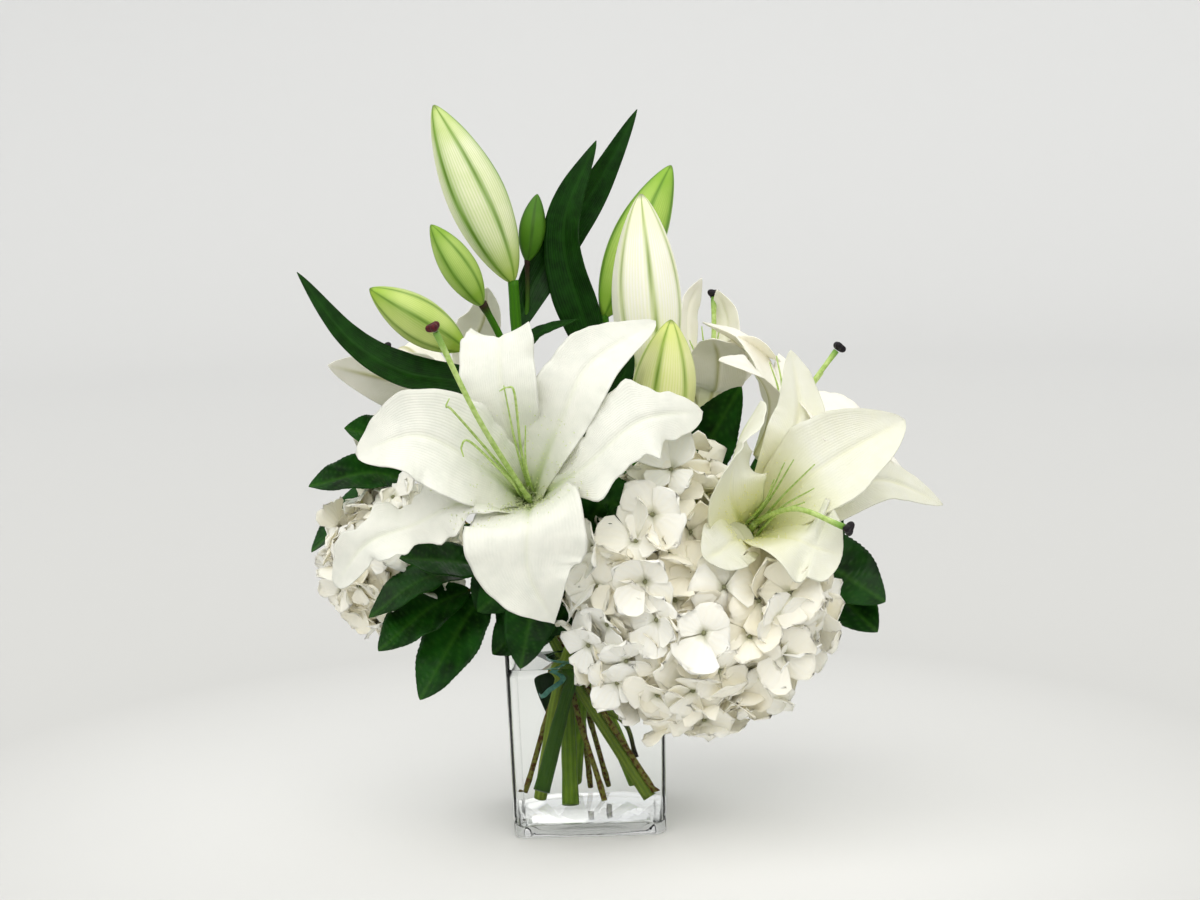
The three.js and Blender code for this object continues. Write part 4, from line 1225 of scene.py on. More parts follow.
@dataclass(frozen=True)
class StemBundle:
    """All stems, held apart by the same rule as in the solids.

    Attributes:
        tie: the tie's place, seen from above.
        rounds: of pushing.
        samples: on each stem.
        gap: room left between two stems.
        pull: towards the tie.
        moved: knots that may move.
        beside: room left beside the glass.
    """

    tie: tuple[float, float] = (-8, 0)
    rounds: int = 400
    samples: int = 40
    gap: float = 0.6
    pull: float = 0.12
    moved: int = 3
    beside: float = 1

    def knots(self) -> dict[str, Array]:
        """The stems' knots after each pair is pushed apart where it comes nearest.

        Every round pulls the second knot towards the tie a little less, pushes each pair
        sideways by half of what it lacks, and keeps the lower knots inside the glass.
        """
        shares = np.arange(self.samples + 1) / self.samples
        stems = [(radius, np.array(knots, float)) for radius, knots in STEMS.values()]
        spread = [route(np.eye(len(knots)), shares)[0] for _, knots in stems]
        for turn in range(self.rounds):
            pull = self.pull * (1 - turn / self.rounds)
            for _, knots in stems:
                knots[1, :2] += (np.array(self.tie) - knots[1, :2]) * pull
            for one, other in combinations(range(len(stems)), 2):
                self.push(stems[one], stems[other], spread[one], spread[other])
            for radius, knots in stems:
                low = knots[: self.moved]
                limit = Vase().inner_half(np.minimum(low[:, 2], Vase().height)) - radius - self.beside
                low[:, :2] = np.clip(low[:, :2], -limit[:, None], limit[:, None])
        return {name: knots for name, (_, knots) in zip(STEMS, stems)}

    def push(
        self, one: tuple[float, Array], other: tuple[float, Array], first: Array, second: Array
    ) -> None:
        """Pushes two stems apart sideways where they come nearest, if they come too near.

        Args:
            one: radius and knots of a stem.
            other: radius and knots of the other.
            first: the weights that turn the first stem's knots into its samples.
            second: the same for the other.
        """
        a, b = first @ one[1], second @ other[1]
        distances = np.linalg.norm(a[:, None] - b[None], axis=-1)
        i, j = np.unravel_index(np.argmin(distances), distances.shape)
        lack = one[0] + other[0] + self.gap - distances[i, j]
        if lack <= 0:
            return
        away = (a[i] - b[j]) * (1, 1, 0)
        away *= lack / 2 / np.linalg.norm(away)
        self.shift(one[1], i, away)
        self.shift(other[1], j, -away)

    def shift(self, knots: Array, sample: int, push: Array) -> None:
        """Moves the knots beside one sample, so that the sample itself moves by the push."""
        place = sample / self.samples * (len(knots) - 1)
        low = min(int(place), len(knots) - 2)
        shares = (1 - (place - low), place - low)
        for k, share in enumerate(shares):
            if low + k < self.moved:
                knots[low + k] += push * share / (shares[0] ** 2 + shares[1] ** 2)


def on_stem(knots: Array, height: float) -> Array:
    """The point of a stem's route, of 201 along it, that is nearest to a height."""
    points = route(knots, np.linspace(0, 1, 201))[0]
    return points[np.argmin(np.abs(points[:, 2] - height))]


@dataclass(frozen=True)
class Stem:
    """One stem with its stalks and leaves.

    Attributes:
        name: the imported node.
        knots: the stem's route.
        radius: of the stem.
        water_line: about the height above which it is no longer paler.
        sides: points round it.
        steps: spans along it.
        fuller: factor of its leaves' widths.
        leaf: their thickness.
    """

    name: str
    knots: Array
    radius: float
    water_line: float = 150
    sides: int = 14
    steps: int = 60
    fuller: float = 1.15
    leaf: float = 0.8

    def grown(self, start: float, knots: Sequence[Point]) -> Array:
        """The route of a stalk or leaf that grows from the stem at a height."""
        return np.array([on_stem(self.knots, start), *knots], float)

    def rod(self, knots: Array, radii: Array, **paint: Array) -> Shell:
        """A rod of the stem's tissue with a ring for each radius, and its depth painted on it."""
        heights = route(knots, np.linspace(0, 1, len(radii)))[0][:, 2]
        depth = 1 - smooth_step(self.water_line - 60, self.water_line + 30, heights)
        # painted shade for a stem that stands in the others' shade
        deep = np.full(len(radii), PAINTED_SHADE_STEMS.get(self.name, 0.0))
        return tube(knots, radii, self.sides, {"depth": depth, "deep": deep, **paint})

    def shell(self) -> Shell:
        """The stem, its stalks and its leaves in one. A woody one has knuckles along it."""
        shares = np.linspace(0, 1, self.steps + 1)
        uneven = 1 + 0.04 * ripple(shares * 6, sum(map(ord, self.name)))
        if StemKind.of(self.name) is StemKind.SALAL:
            knuckle = np.exp(-((((shares * 7 + 0.3) % 1.0) - 0.5) / 0.07) ** 2)
            size = self.radius * (uneven + 0.25 * knuckle)
            rod = self.rod(self.knots, size, wood=np.ones_like(shares))
            return gathered([rod, *self.sprig_leaves()])
        taper = 1.06 - 0.22 * shares + 0.24 * smooth_step(0.3, 0, shares)
        rod = self.rod(self.knots, self.radius * uneven * taper, dark=np.zeros_like(shares))
        return gathered([rod, *self.stalks(), *self.lily_leaves()])

    def stalks(self) -> list[Shell]:
        """The flower stalks, each with a slight collar at its end, the thin ones dark there."""
        made = []
        share = np.linspace(0, 1, 25)
        for start, radius, knots in STALKS.get(self.name, ()):
            size = radius * (1.05 - 0.15 * share + 0.35 * smooth_step(0.82, 1, share))
            dark = smooth_step(0.25 if radius < 2 else 0.8, 1.0, share) * (radius < 2.5)
            made.append(self.rod(self.grown(start, knots), size, dark=dark))
        return made

    def lily_leaves(self) -> list[Shell]:
        """The lance-shaped leaves, with a furrow along the midrib and gently waved edges."""
        made = []
        for k, (start, width, wave, face, knots) in enumerate(LILY_LEAVES.get(self.name, ())):
            form = BladeForm(
                self.fuller * width, self.leaf, neck_half=1.8, cup=0.25, wave=wave, phase=k,
                ruffle=0.4, furrow=0.8, seed=k + len(self.name),
            )
            leaf = blade(self.grown(start, knots), form, 56, 16, face=np.array(face))[0]
            leaf.paint["leaf"] = np.ones(len(leaf.points))
            made.append(leaf)
        return made

    def sprig_leaves(self) -> list[Shell]:
        """The broad leathery leaves, quilted by their side veins and finely toothed."""
        made = []
        for k, (start, width, face, knots) in enumerate(SPRIG_LEAVES.get(self.name, ())):
            points = self.grown(start, knots)
            twig = np.array([points[0], *route(points, np.array([0.13, 0.27]))[0]])
            made.append(self.rod(twig, np.linspace(1.25, 0.8, 9), wood=np.linspace(0.9, 0.3, 9)))
            form = BladeForm(
                self.fuller * width, self.leaf, start=0.25, neck_half=0.8, bias=0.95, cup=0.15,
                wave=1.2, waves=3, phase=k, ruffle=0.5, furrow=0.7, pleats=7, teeth=26, seed=3 * k,
            )
            made.append(blade(points, form, 104, 14, face=np.array(face))[0])
        return made


# ---------------------------------------------------------------- flowers


@dataclass(frozen=True)
class Whorl:
    """Sizes of one whorl of a lily's tepals, as in the solids.

    Attributes:
        root: distance of their feet from the axis.
        throat: the same at the end of the flower's tube.
        neck_half: half the width of their necks.
        bias: power of the share along them.
        cup: how far their edges are lifted.
        width: of those that have no width of their own.
    """

    root: float
    throat: float
    neck_half: float
    bias: float
    cup: float
    width: float


WHORLS = (Whorl(5.5, 11, 6.5, 0.95, 0.05, 32), Whorl(3, 7, 5.5, 1.0, 0.2, 44))


@dataclass
class Lily:
    """One open lily.

    Attributes:
        name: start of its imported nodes' names.
        ruffle: height of the fine waves of its edges.
        throat: how much wider the tepals stand together near the base than in the solids.
        papillae: small pimples on each tepal near the throat.
        start: where the pistil starts along the axis.
        ovary: length of the ovary.
        knob: radius of the stigma.
        surfaces: the middle surfaces of its tepals, once they are made.
    """

    name: str
    ruffle: float = 0.8
    throat: float = 1.2
    papillae: int = 0
    start: float = 6.6
    ovary: float = 24
    knob: float = 4
    surfaces: list[Array] = field(default_factory=list)

    def __post_init__(self) -> None:
        """Reads the flower's pose."""
        self.data = BLOOMS[self.name]
        self.seat = np.array(self.data["seat"], float)
        self.axis = unit(np.array(self.data["axis"], float))
        self.dice = np.random.default_rng(sum(map(ord, self.name)))

    def tepal_table(self) -> Sequence[tuple[float, float, Array]]:
        """Width, wave and outer knots of each tepal: its own, or six even ones."""
        if "tepals" in self.data:
            return self.data["tepals"]
        table = []
        rounds = spokes(np.array(self.data["first"], float), self.axis, -circle(6))
        for k, away in enumerate(rounds):
            knots = [self.seat + self.axis * a + away * b for a, b in ((42, 26), (54, 54), (50, 84))]
            table.append((WHORLS[k % 2].width, 1.0, knots))
        return table

    def perianth(self) -> Shell:
        """The six tepals with their papillae, on the flower's base."""
        ends = [self.seat - self.axis, self.seat + self.axis * 6]
        shells = [tube(ends, np.array([2.6, 4.6, 6.0, 6.4, 6.0]), 18)]
        habits = HABITS.get(self.name, (Habit(),) * 6)
        for k, ((width, wave, knots), habit) in enumerate(zip(self.tepal_table(), habits)):
            whorl = WHORLS[k % 2]
            away = across(np.array(knots[0]) - self.seat, self.axis)
            root = self.seat + self.axis * 2 + away * whorl.root
            throat = self.seat + self.axis * self.data["tube"] + away * whorl.throat
            form = BladeForm(
                width * habit.width, 1.0, neck=0.25, neck_half=whorl.neck_half * self.throat,
                fullness=habit.fullness, bias=whorl.bias * habit.bias, cup=whorl.cup, rolled=0.4,
                wave=wave, phase=2 * k, ruffle=self.ruffle, uneven=habit.uneven,
                flare=habit.flare, twist=habit.twist, furrow=1.5, rim=0.5, seed=11 * k + 5,
            )
            points = np.array([root, throat, *knots], float)
            shell, surface, front = blade(points, form, 72, 30, side=np.cross(self.axis, away))
            shells.append(shell)
            self.surfaces.append(surface)
            if self.papillae:
                shells.append(self.pimples(surface, front))
        return gathered(shells)

    def pimples(self, surface: Array, front: Array) -> Shell:
        """Soft white papillae on one tepal, longest along its margins by the throat.

        Their places across are drawn evenly, and their places along get rarer outwards. The
        length falls with the distance from the throat.

        Args:
            surface: the tepal's middle surface.
            front: its unit fronts.

        Returns:
            The papillae.
        """
        rows, cols = surface.shape[0] - 1, surface.shape[1] - 1
        share = 0.20 + 0.30 * self.dice.random(self.papillae) ** 1.6
        v = self.dice.uniform(-0.95, 0.95, self.papillae)
        i, j = (share * rows).astype(int), ((v + 1) / 2 * cols).astype(int)
        roots = surface[i, j] + front[i, j] * 0.4
        lean = unit(front[i, j] + 0.35 * self.dice.normal(size=(self.papillae, 3)))
        fringe = (1 - smooth_step(0.2, 0.34, share)) * (0.4 + np.abs(v))
        length = (0.9 + 4.4 * fringe) * self.dice.uniform(0.7, 1.1, len(share))
        return spikes(roots, lean, length, 0.42)

    def pistil(self) -> Shell:
        """Ovary, style and six tapering filaments without anthers."""
        start = self.seat + self.axis * self.start
        top = start + self.axis * self.ovary
        style = np.array([start, top, *self.data["style"]], float)
        shares = np.linspace(0, 1, 41)
        thick = 1.65 + 0.35 * smooth_step(0.85, 1, shares)
        shells = [
            tube([start, top], np.array([1.9, 2.3, 2.4, 2.3, 2.0]), 12),
            tube(style, thick, 12, {"end": smooth_step(0.9, 1.0, shares)}),
        ]
        thin = 1.05 - 0.65 * np.linspace(0, 1, 37) ** 1.5
        for k, tip in enumerate(self.data["filaments"]):
            end = np.array(tip, float)
            low = start + self.axis * 13 + across(end - start, self.axis) * 5
            knots = [start + self.axis * 2, low, top + (end - top) * 0.45, end]
            knots += [end + np.array(step, float) for step in CURLS.get(f"{self.name}_{k}", ())]
            shells.append(tube(knots, thin, 8, {"end": 0 * thin}))
        return gathered(shells)

    def stigma(self) -> Shell:
        """The three-lobed head of the style: a flattened ball whose radius swells three times."""
        before, end = (np.array(p, float) for p in self.data["style"][-2:])
        outward = unit(end - before)
        centre = end + outward * (self.knob * 0.7 + 0.6)
        turn = circle(36)
        rise = np.linspace(-np.pi / 2 + 0.12, np.pi / 2 - 0.12, 15)[:, None]
        notch = 1 + 0.26 * np.cos(3 * turn) - 0.12 * np.exp(-(((rise - 1.5) / 0.5) ** 2))
        ring = self.knob * np.cos(rise) ** 0.8 * notch
        height = 2.8 * np.sin(rise) - 1.1 * np.exp(-(((rise - 1.5) / 0.4) ** 2))
        out = spokes(np.array([0.3, 0.5, 0.8]), outward, turn)
        grid = centre + ring[..., None] * out + height[..., None] * outward
        return closed_skin(grid)


@dataclass(frozen=True)
class Habit:
    """How one tepal grows apart from its fellows.

    Attributes:
        flare: how far its edges are lifted near the tip.
        uneven: how far its outline wanders.
        fullness: power of the sine of its outline, smaller for a blunter tip.
        twist: turn about its midrib, in degrees.
        bias: factor of the whorl's bias, below 1 for a widest part nearer the throat.
        width: factor of its width.
    """

    flare: float = 0.0
    uneven: float = 0.02
    fullness: float = 0.72
    twist: float = 0.0
    bias: float = 1.0
    width: float = 1.0


# By lily that looks at the viewer: its ruffle, its throat and its papillae.
FRONTS: dict[str, tuple[float, float, int]] = {"lily_a": (3.0, 1.6, 110), "lily_b": (1.5, 1.6, 110)}
HABITS: dict[str, tuple[Habit, ...]] = {
    "lily_a": (
        Habit(0.4, 0.05, 0.60), Habit(0.1, 0.04, 0.66, width=0.74),
        Habit(-0.1, 0.32, 0.56, bias=1.15), Habit(0.1, 0.02, 0.95, bias=0.78),
        Habit(0.1, 0.34, 0.42, bias=1.05, width=0.86), Habit(0.05, 0.03, 0.62),
    ),
    "lily_b": (
        Habit(0.1, 0.03), Habit(0.15, 0.02, 0.68), Habit(0.1, 0.03), Habit(0.1, 0.05, 0.6, 15),
        Habit(0.0, 0.04, 0.6, width=0.8), Habit(0.0, 0.02, 0.5, -55, width=1.05),
    ),
}
# By filament that curls: where it goes on to, from its tip.
CURLS: dict[str, tuple[Point, ...]] = {
    "lily_a_1": ((-4, 2, 4), (-9, 1, 2)),
    "lily_a_2": ((-4, -1, 3), (-2, -1, 8)),
    "lily_a_3": ((-5, 0, -3), (-4, 0, -9)),
}


@dataclass(frozen=True)
class Bud:
    """One closed bud: a spindle with three raised ribs and the seams between its outer tepals.

    Attributes:
        base: its foot.
        tip: its tip.
        radius: where it is thickest.
        tones: its colours between the ribs, on its flanks and on its ribs.
        lean: how green it is as a whole, from 0 to 1.
        show: how strongly its ribs show.
        turn: where the first rib stands.
        fine: factor of the ribs' painted breadth.
        twist: how far the ribs turn from foot to tip.
    """

    base: Point
    tip: Point
    radius: float
    tones: tuple[str, str, str]
    lean: float
    show: float
    turn: float
    fine: float = 1.0
    twist: float = 0.25

    def finish(self, name: str) -> BudFinish:
        """The finish of the bud's skin, under a name."""
        return BudFinish(
            name, 0.42, bump_mm=0.12, soak=0.15, soak_mm=1.5, gloss=0.25, lean=self.lean,
            show=self.show, **dict(zip(("pale", "mid", "green"), self.tones)),
        )

    def shell(self) -> Shell:
        """The bud.

        The radius is a sine of the share along it raised to a power. Round it, it swells three
        and six times, with a narrow raised rib on every third and a narrow sunk seam between.
        """
        foot = np.array(self.base, float)
        line = np.array(self.tip, float) - foot
        s = np.linspace(0.004, 0.996, 73)[:, None]
        angle = circle(72)
        local = angle - self.turn - self.twist * s
        third = np.abs((local / (2 * np.pi) * 3 + 0.5) % 1.0 - 0.5) * 2 * np.pi / 3
        seam = np.pi / 3 - third

        def soft(distance: Array, width: float) -> Array:
            """A soft line that fades with the distance from it."""
            return np.exp(-((distance / width) ** 2))

        ring = 1 + 0.05 * np.cos(3 * local) + 0.03 * np.cos(6 * local) + 0.006 * np.cos(24 * local)
        ring += 0.022 * soft(third, 0.16) - 0.04 * soft(seam, 0.07) - 0.03 * soft(third, 0.035)
        size = self.radius * np.sin(np.pi * s**0.92) ** 0.72
        out = spokes(np.array([0.0, -1.0, 0.0]), unit(line), angle)
        grid = foot + s[..., None] * line + (size * ring)[..., None] * out
        rib = 0.5 * soft(third, 0.30 * self.fine) + 0.5 * soft(third, 0.09) + 0.85 * soft(seam, 0.13)
        paint = {
            "rib": np.clip(rib, 0, 1),
            "line": soft(third, 0.035) + 0.7 * soft(seam, 0.035),
            "ends": smooth_step(0.35, 0, s) * 0.75 + smooth_step(0.7, 1, s) * 0.6,
            "tip": smooth_step(0.965, 1.0, s) * 0.8,
        }
        return closed_skin(grid, v=s[:, 0], paint=paint)


BUDS = {
    "bud_1": Bud(
        (-39, -5, 355), (-85, -15, 470), 18.5, ("FAF9E0", "B4CF58", "6E9C1C"), 0.14, 0.95, 0.45
    ),
    "bud_2": Bud((-58, -30, 343), (-88, -40, 396), 11, ("CFE08C", "8DB240", "55841C"), 0.5, 0.9, 0.2),
    "bud_3": Bud((-30, 12, 367), (-22, 15, 411), 8.5, ("6B952A", "4A7A1A", "2A500C"), 0.8, 0.9, 0.9),
    "bud_4": Bud(
        (-69, -40, 317), (-127, -50, 358), 14.5, ("E2EAA0", "9DBD44", "5F8A22"), 0.42, 0.8, -0.3
    ),
    "bud_5": Bud((18, 5, 330), (65, 15, 427), 17, ("CDE07E", "8FB840", "4F8418"), 0.45, 0.9, 1.0),
    "bud_6": Bud(
        (49, -29, 282), (44, -25, 411), 22, ("FBF9EE", "EEF0C0", "A9BF4A"), 0.0, 0.75, -0.25, 0.3
    ),
    "bud_7": Bud(
        (47, -50, 246), (60, -60, 334), 20, ("F4F2C4", "D4DF78", "8DB026"), 0.25, 0.85, 0.1, 0.5
    ),
}


@dataclass
class HydrangeaHead:
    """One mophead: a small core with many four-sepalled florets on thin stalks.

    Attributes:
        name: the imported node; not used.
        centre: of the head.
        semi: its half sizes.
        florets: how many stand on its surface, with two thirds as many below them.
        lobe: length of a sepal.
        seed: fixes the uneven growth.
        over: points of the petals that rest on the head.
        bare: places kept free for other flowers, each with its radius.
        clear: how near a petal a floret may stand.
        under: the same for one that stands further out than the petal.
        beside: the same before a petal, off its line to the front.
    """

    name: str
    centre: Array
    semi: Array
    florets: int
    lobe: float
    seed: int
    over: Array
    bare: tuple[tuple[Point, float], ...] = ()
    clear: float = 12
    under: float = 32
    beside: float = 14

    def gives_way(self, places: Array, buried: bool) -> Array:
        """Whether each floret stays: none grows through a petal that rests on the head, or over it.

        A floret goes where it stands too near its nearest petal point, or within the wider
        distance and further out from the head's middle than that point, or where it hangs
        right before a petal. A buried floret only keeps clear.

        Args:
            places: the florets' middles.
            buried: whether they belong to the inner layer.

        Returns:
            True for each floret that stays.
        """
        steps = places[:, None] - self.over[None]
        gaps = np.linalg.norm(steps, axis=-1)
        free = gaps.min(axis=1) > self.clear
        if buried:
            return free
        nearest = self.over[np.argmin(gaps, axis=1)]
        outward = unit(places - self.centre)
        above = ((places - nearest) * outward).sum(-1) > -6
        aside = np.linalg.norm(steps * (1, 0, 1), axis=-1)
        before = ((aside < self.beside) & (steps[..., 1] < -2)).any(axis=1)
        return free & ~(above & (gaps.min(axis=1) < self.under)) & ~before

    def seats(self, count: int, depth: float) -> tuple[Array, Array, Array]:
        """Middle, unit normal, and how old each floret of one layer is, with painted shade added on the
        deeper ones.

        They follow the golden-angle spiral from pole to pole of a ball stretched to the head,
        and every third one stands deeper.

        Args:
            count: florets in the layer.
            depth: how far out the layer stands, as a share of the head's half sizes.

        Returns:
            The florets' middles and normals, and how old they are with that painted shade.
        """
        dice = np.random.default_rng(self.seed + count)
        k = np.arange(count)
        height = 1 - (2 * k + 1) / count
        turn = k * np.pi * (3 - math.sqrt(5)) + dice.normal(0, 0.05, count)
        ring = np.sqrt(1 - height**2)
        ball = np.stack([ring * np.cos(turn), ring * np.sin(turn), height], -1)
        reach = depth - np.where(k % 3 == 0, 0.10, 0.0) + dice.uniform(-0.03, 0.03, count)
        normal = unit(unit(ball / self.semi) + 0.62 * dice.normal(size=ball.shape) / math.sqrt(3))
        places = ball * self.semi * reach[:, None] + self.centre
        buried = depth < 0.8
        stays = self.gives_way(places, buried)
        for place, radius in self.bare:
            away = np.linalg.norm(places - np.array(place, float), axis=-1)
            stays &= away > (radius - 14 if buried else radius)
        # a random spread of how old each floret is, plus more cream on every third one, which stands
        # deeper, and on the inner layer: painted warm shade
        age = dice.uniform(0, 0.5, count) + 0.25 * (k % 3 == 0) + 1.2 * (0.94 - depth)
        return places[stays], normal[stays], age[stays]

    def sepals(self, places: Array, normals: Array, age: Array) -> Shell:
        """Four sepals for each floret, as thin two-sided skins.

        Along a sepal the half width grows as a power of the share and then shrinks as a quarter
        circle, so that it is a broad round fan. Its middle rises from the eye and arches
        back, its sides are folded along the middle, and its outer edge is uneven and waved.

        Args:
            places: the florets' middles.
            normals: where they look.
            age: how old each is, from 0, raised on the deeper ones as painted shade.

        Returns:
            The sepals.
        """
        dice = np.random.default_rng(self.seed + 1)
        count = len(places) * 4
        owner = np.repeat(np.arange(len(places)), 4)
        quarter = np.tile(np.arange(4), len(places))

        def drawn(low: float, high: float) -> Array:
            """A number for each sepal."""
            return dice.uniform(low, high, count)[:, None, None]

        spin = np.repeat(dice.uniform(0, 2 * np.pi, len(places)), 4) + quarter * np.pi / 2
        spin += dice.normal(0, 0.10, count)
        normal = normals[owner]
        upright = np.abs(normal[:, 2:]) >= 0.9
        first = across(np.where(upright, np.array([[1.0, 0, 0]]), np.array([[0.0, 0, 1]])), normal)
        out = np.cos(spin)[:, None] * first + np.sin(spin)[:, None] * np.cross(normal, first)
        side = np.cross(normal, out)
        length = self.lobe * drawn(0.74, 1.12)
        width = length * drawn(0.95, 1.35)
        a = np.array([0, 0.30, 0.58, 0.80, 0.965, 1.0])[None, :, None]
        b = np.array([-1, -0.94, -0.36, 0.36, 0.94, 1])[None, None, :]
        broad = 0.58
        closing = np.sqrt(1 - ((np.maximum(a, broad) - broad) / 0.45) ** 2)
        half = width / 2 * np.maximum(np.where(a < broad, (a / broad) ** 0.8, closing), 0.04)
        run = length * (0.04 + 0.96 * a * (1 - 0.15 * b**2))
        run = run + a**3 * dice.normal(0, 0.6, (count, 1, 4))[..., [0, 0, 1, 2, 3, 3]]
        lift = length * (drawn(-0.1, 0.6) * a - drawn(-0.2, 0.45) * a**2)
        lift = lift + half * (drawn(-0.4, 0.45) * np.abs(b) ** 1.4 + drawn(-0.25, 0.25) * b)
        lift = lift + 1.5 * np.sin(drawn(0, 6.28) + 5 * a + 4.4 * b) * a**2 * (0.3 + np.abs(b))
        lift = lift + 0.5 * (quarter % 2)[:, None, None]
        middle = (
            places[owner][:, None, None]
            + out[:, None, None] * run[..., None]
            + side[:, None, None] * (half * b)[..., None]
            + normal[:, None, None] * lift[..., None]
        )
        thick = (0.28 * normal)[:, None, None]
        grid = np.concatenate([middle + thick, (middle - thick)[:, :, ::-1]], axis=2)
        v = np.linspace(0, 1, 6)
        paint = {"share": a, "age": age[owner][:, None, None]}
        return closed_skin(grid[:, :, ::-1], np.concatenate([v, v[::-1], [0]]), a.ravel(), paint)

    def eyes(self, places: Array, normals: Array) -> Shell:
        """The small bead in the middle of each floret and the stalk below it."""
        inward = unit(self.centre - places)
        heights = np.array([-16.0, -2.0, -0.4, 0.7, 1.6, 2.0])
        sizes = np.array([0.7, 0.7, 1.2, 1.6, 1.2, 0.4])
        spine = np.where((heights < -1)[None, :, None], -inward[:, None], normals[:, None])
        grid = (
            places[:, None, None]
            + (spine * heights[None, :, None])[:, :, None]
            + spokes(ODD_WAY, normals, circle(8))[:, None] * sizes[None, :, None, None]
        )
        paint = {"eye": np.ones((1, 1, 1)), "bead": (heights > -1)[None, :, None] * 0.8}
        return closed_skin(grid, paint=paint)

    def core(self) -> Shell:
        """The branching heart of the head, as one lumpy ball in the shade of the florets."""
        turn = circle(48)
        rise = np.linspace(-np.pi / 2 + 0.05, np.pi / 2 - 0.05, 32)[:, None]
        lumps = 1 + 0.06 * np.sin(9 * turn + 3 * rise) * np.cos(8 * rise)
        level = np.cos(rise)
        ball = np.stack([level * np.cos(turn), -level * np.sin(turn), np.sin(rise) + 0 * turn], -1)
        grid = self.centre + ball * self.semi * (0.55 * lumps)[..., None]
        return closed_skin(grid, paint={"eye": np.full((1, 1), 0.15)})

    def shell(self) -> Shell:
        """The whole head."""
        layers = [self.seats(self.florets, 0.94), self.seats(self.florets * 2 // 3, 0.75)]
        places, normals, age = (np.concatenate(parts) for parts in zip(*layers))
        shells = [self.core(), self.sepals(places, normals, age), self.eyes(places, normals)]
        return gathered(shells)


# ---------------------------------------------------------------- vase, water and tie


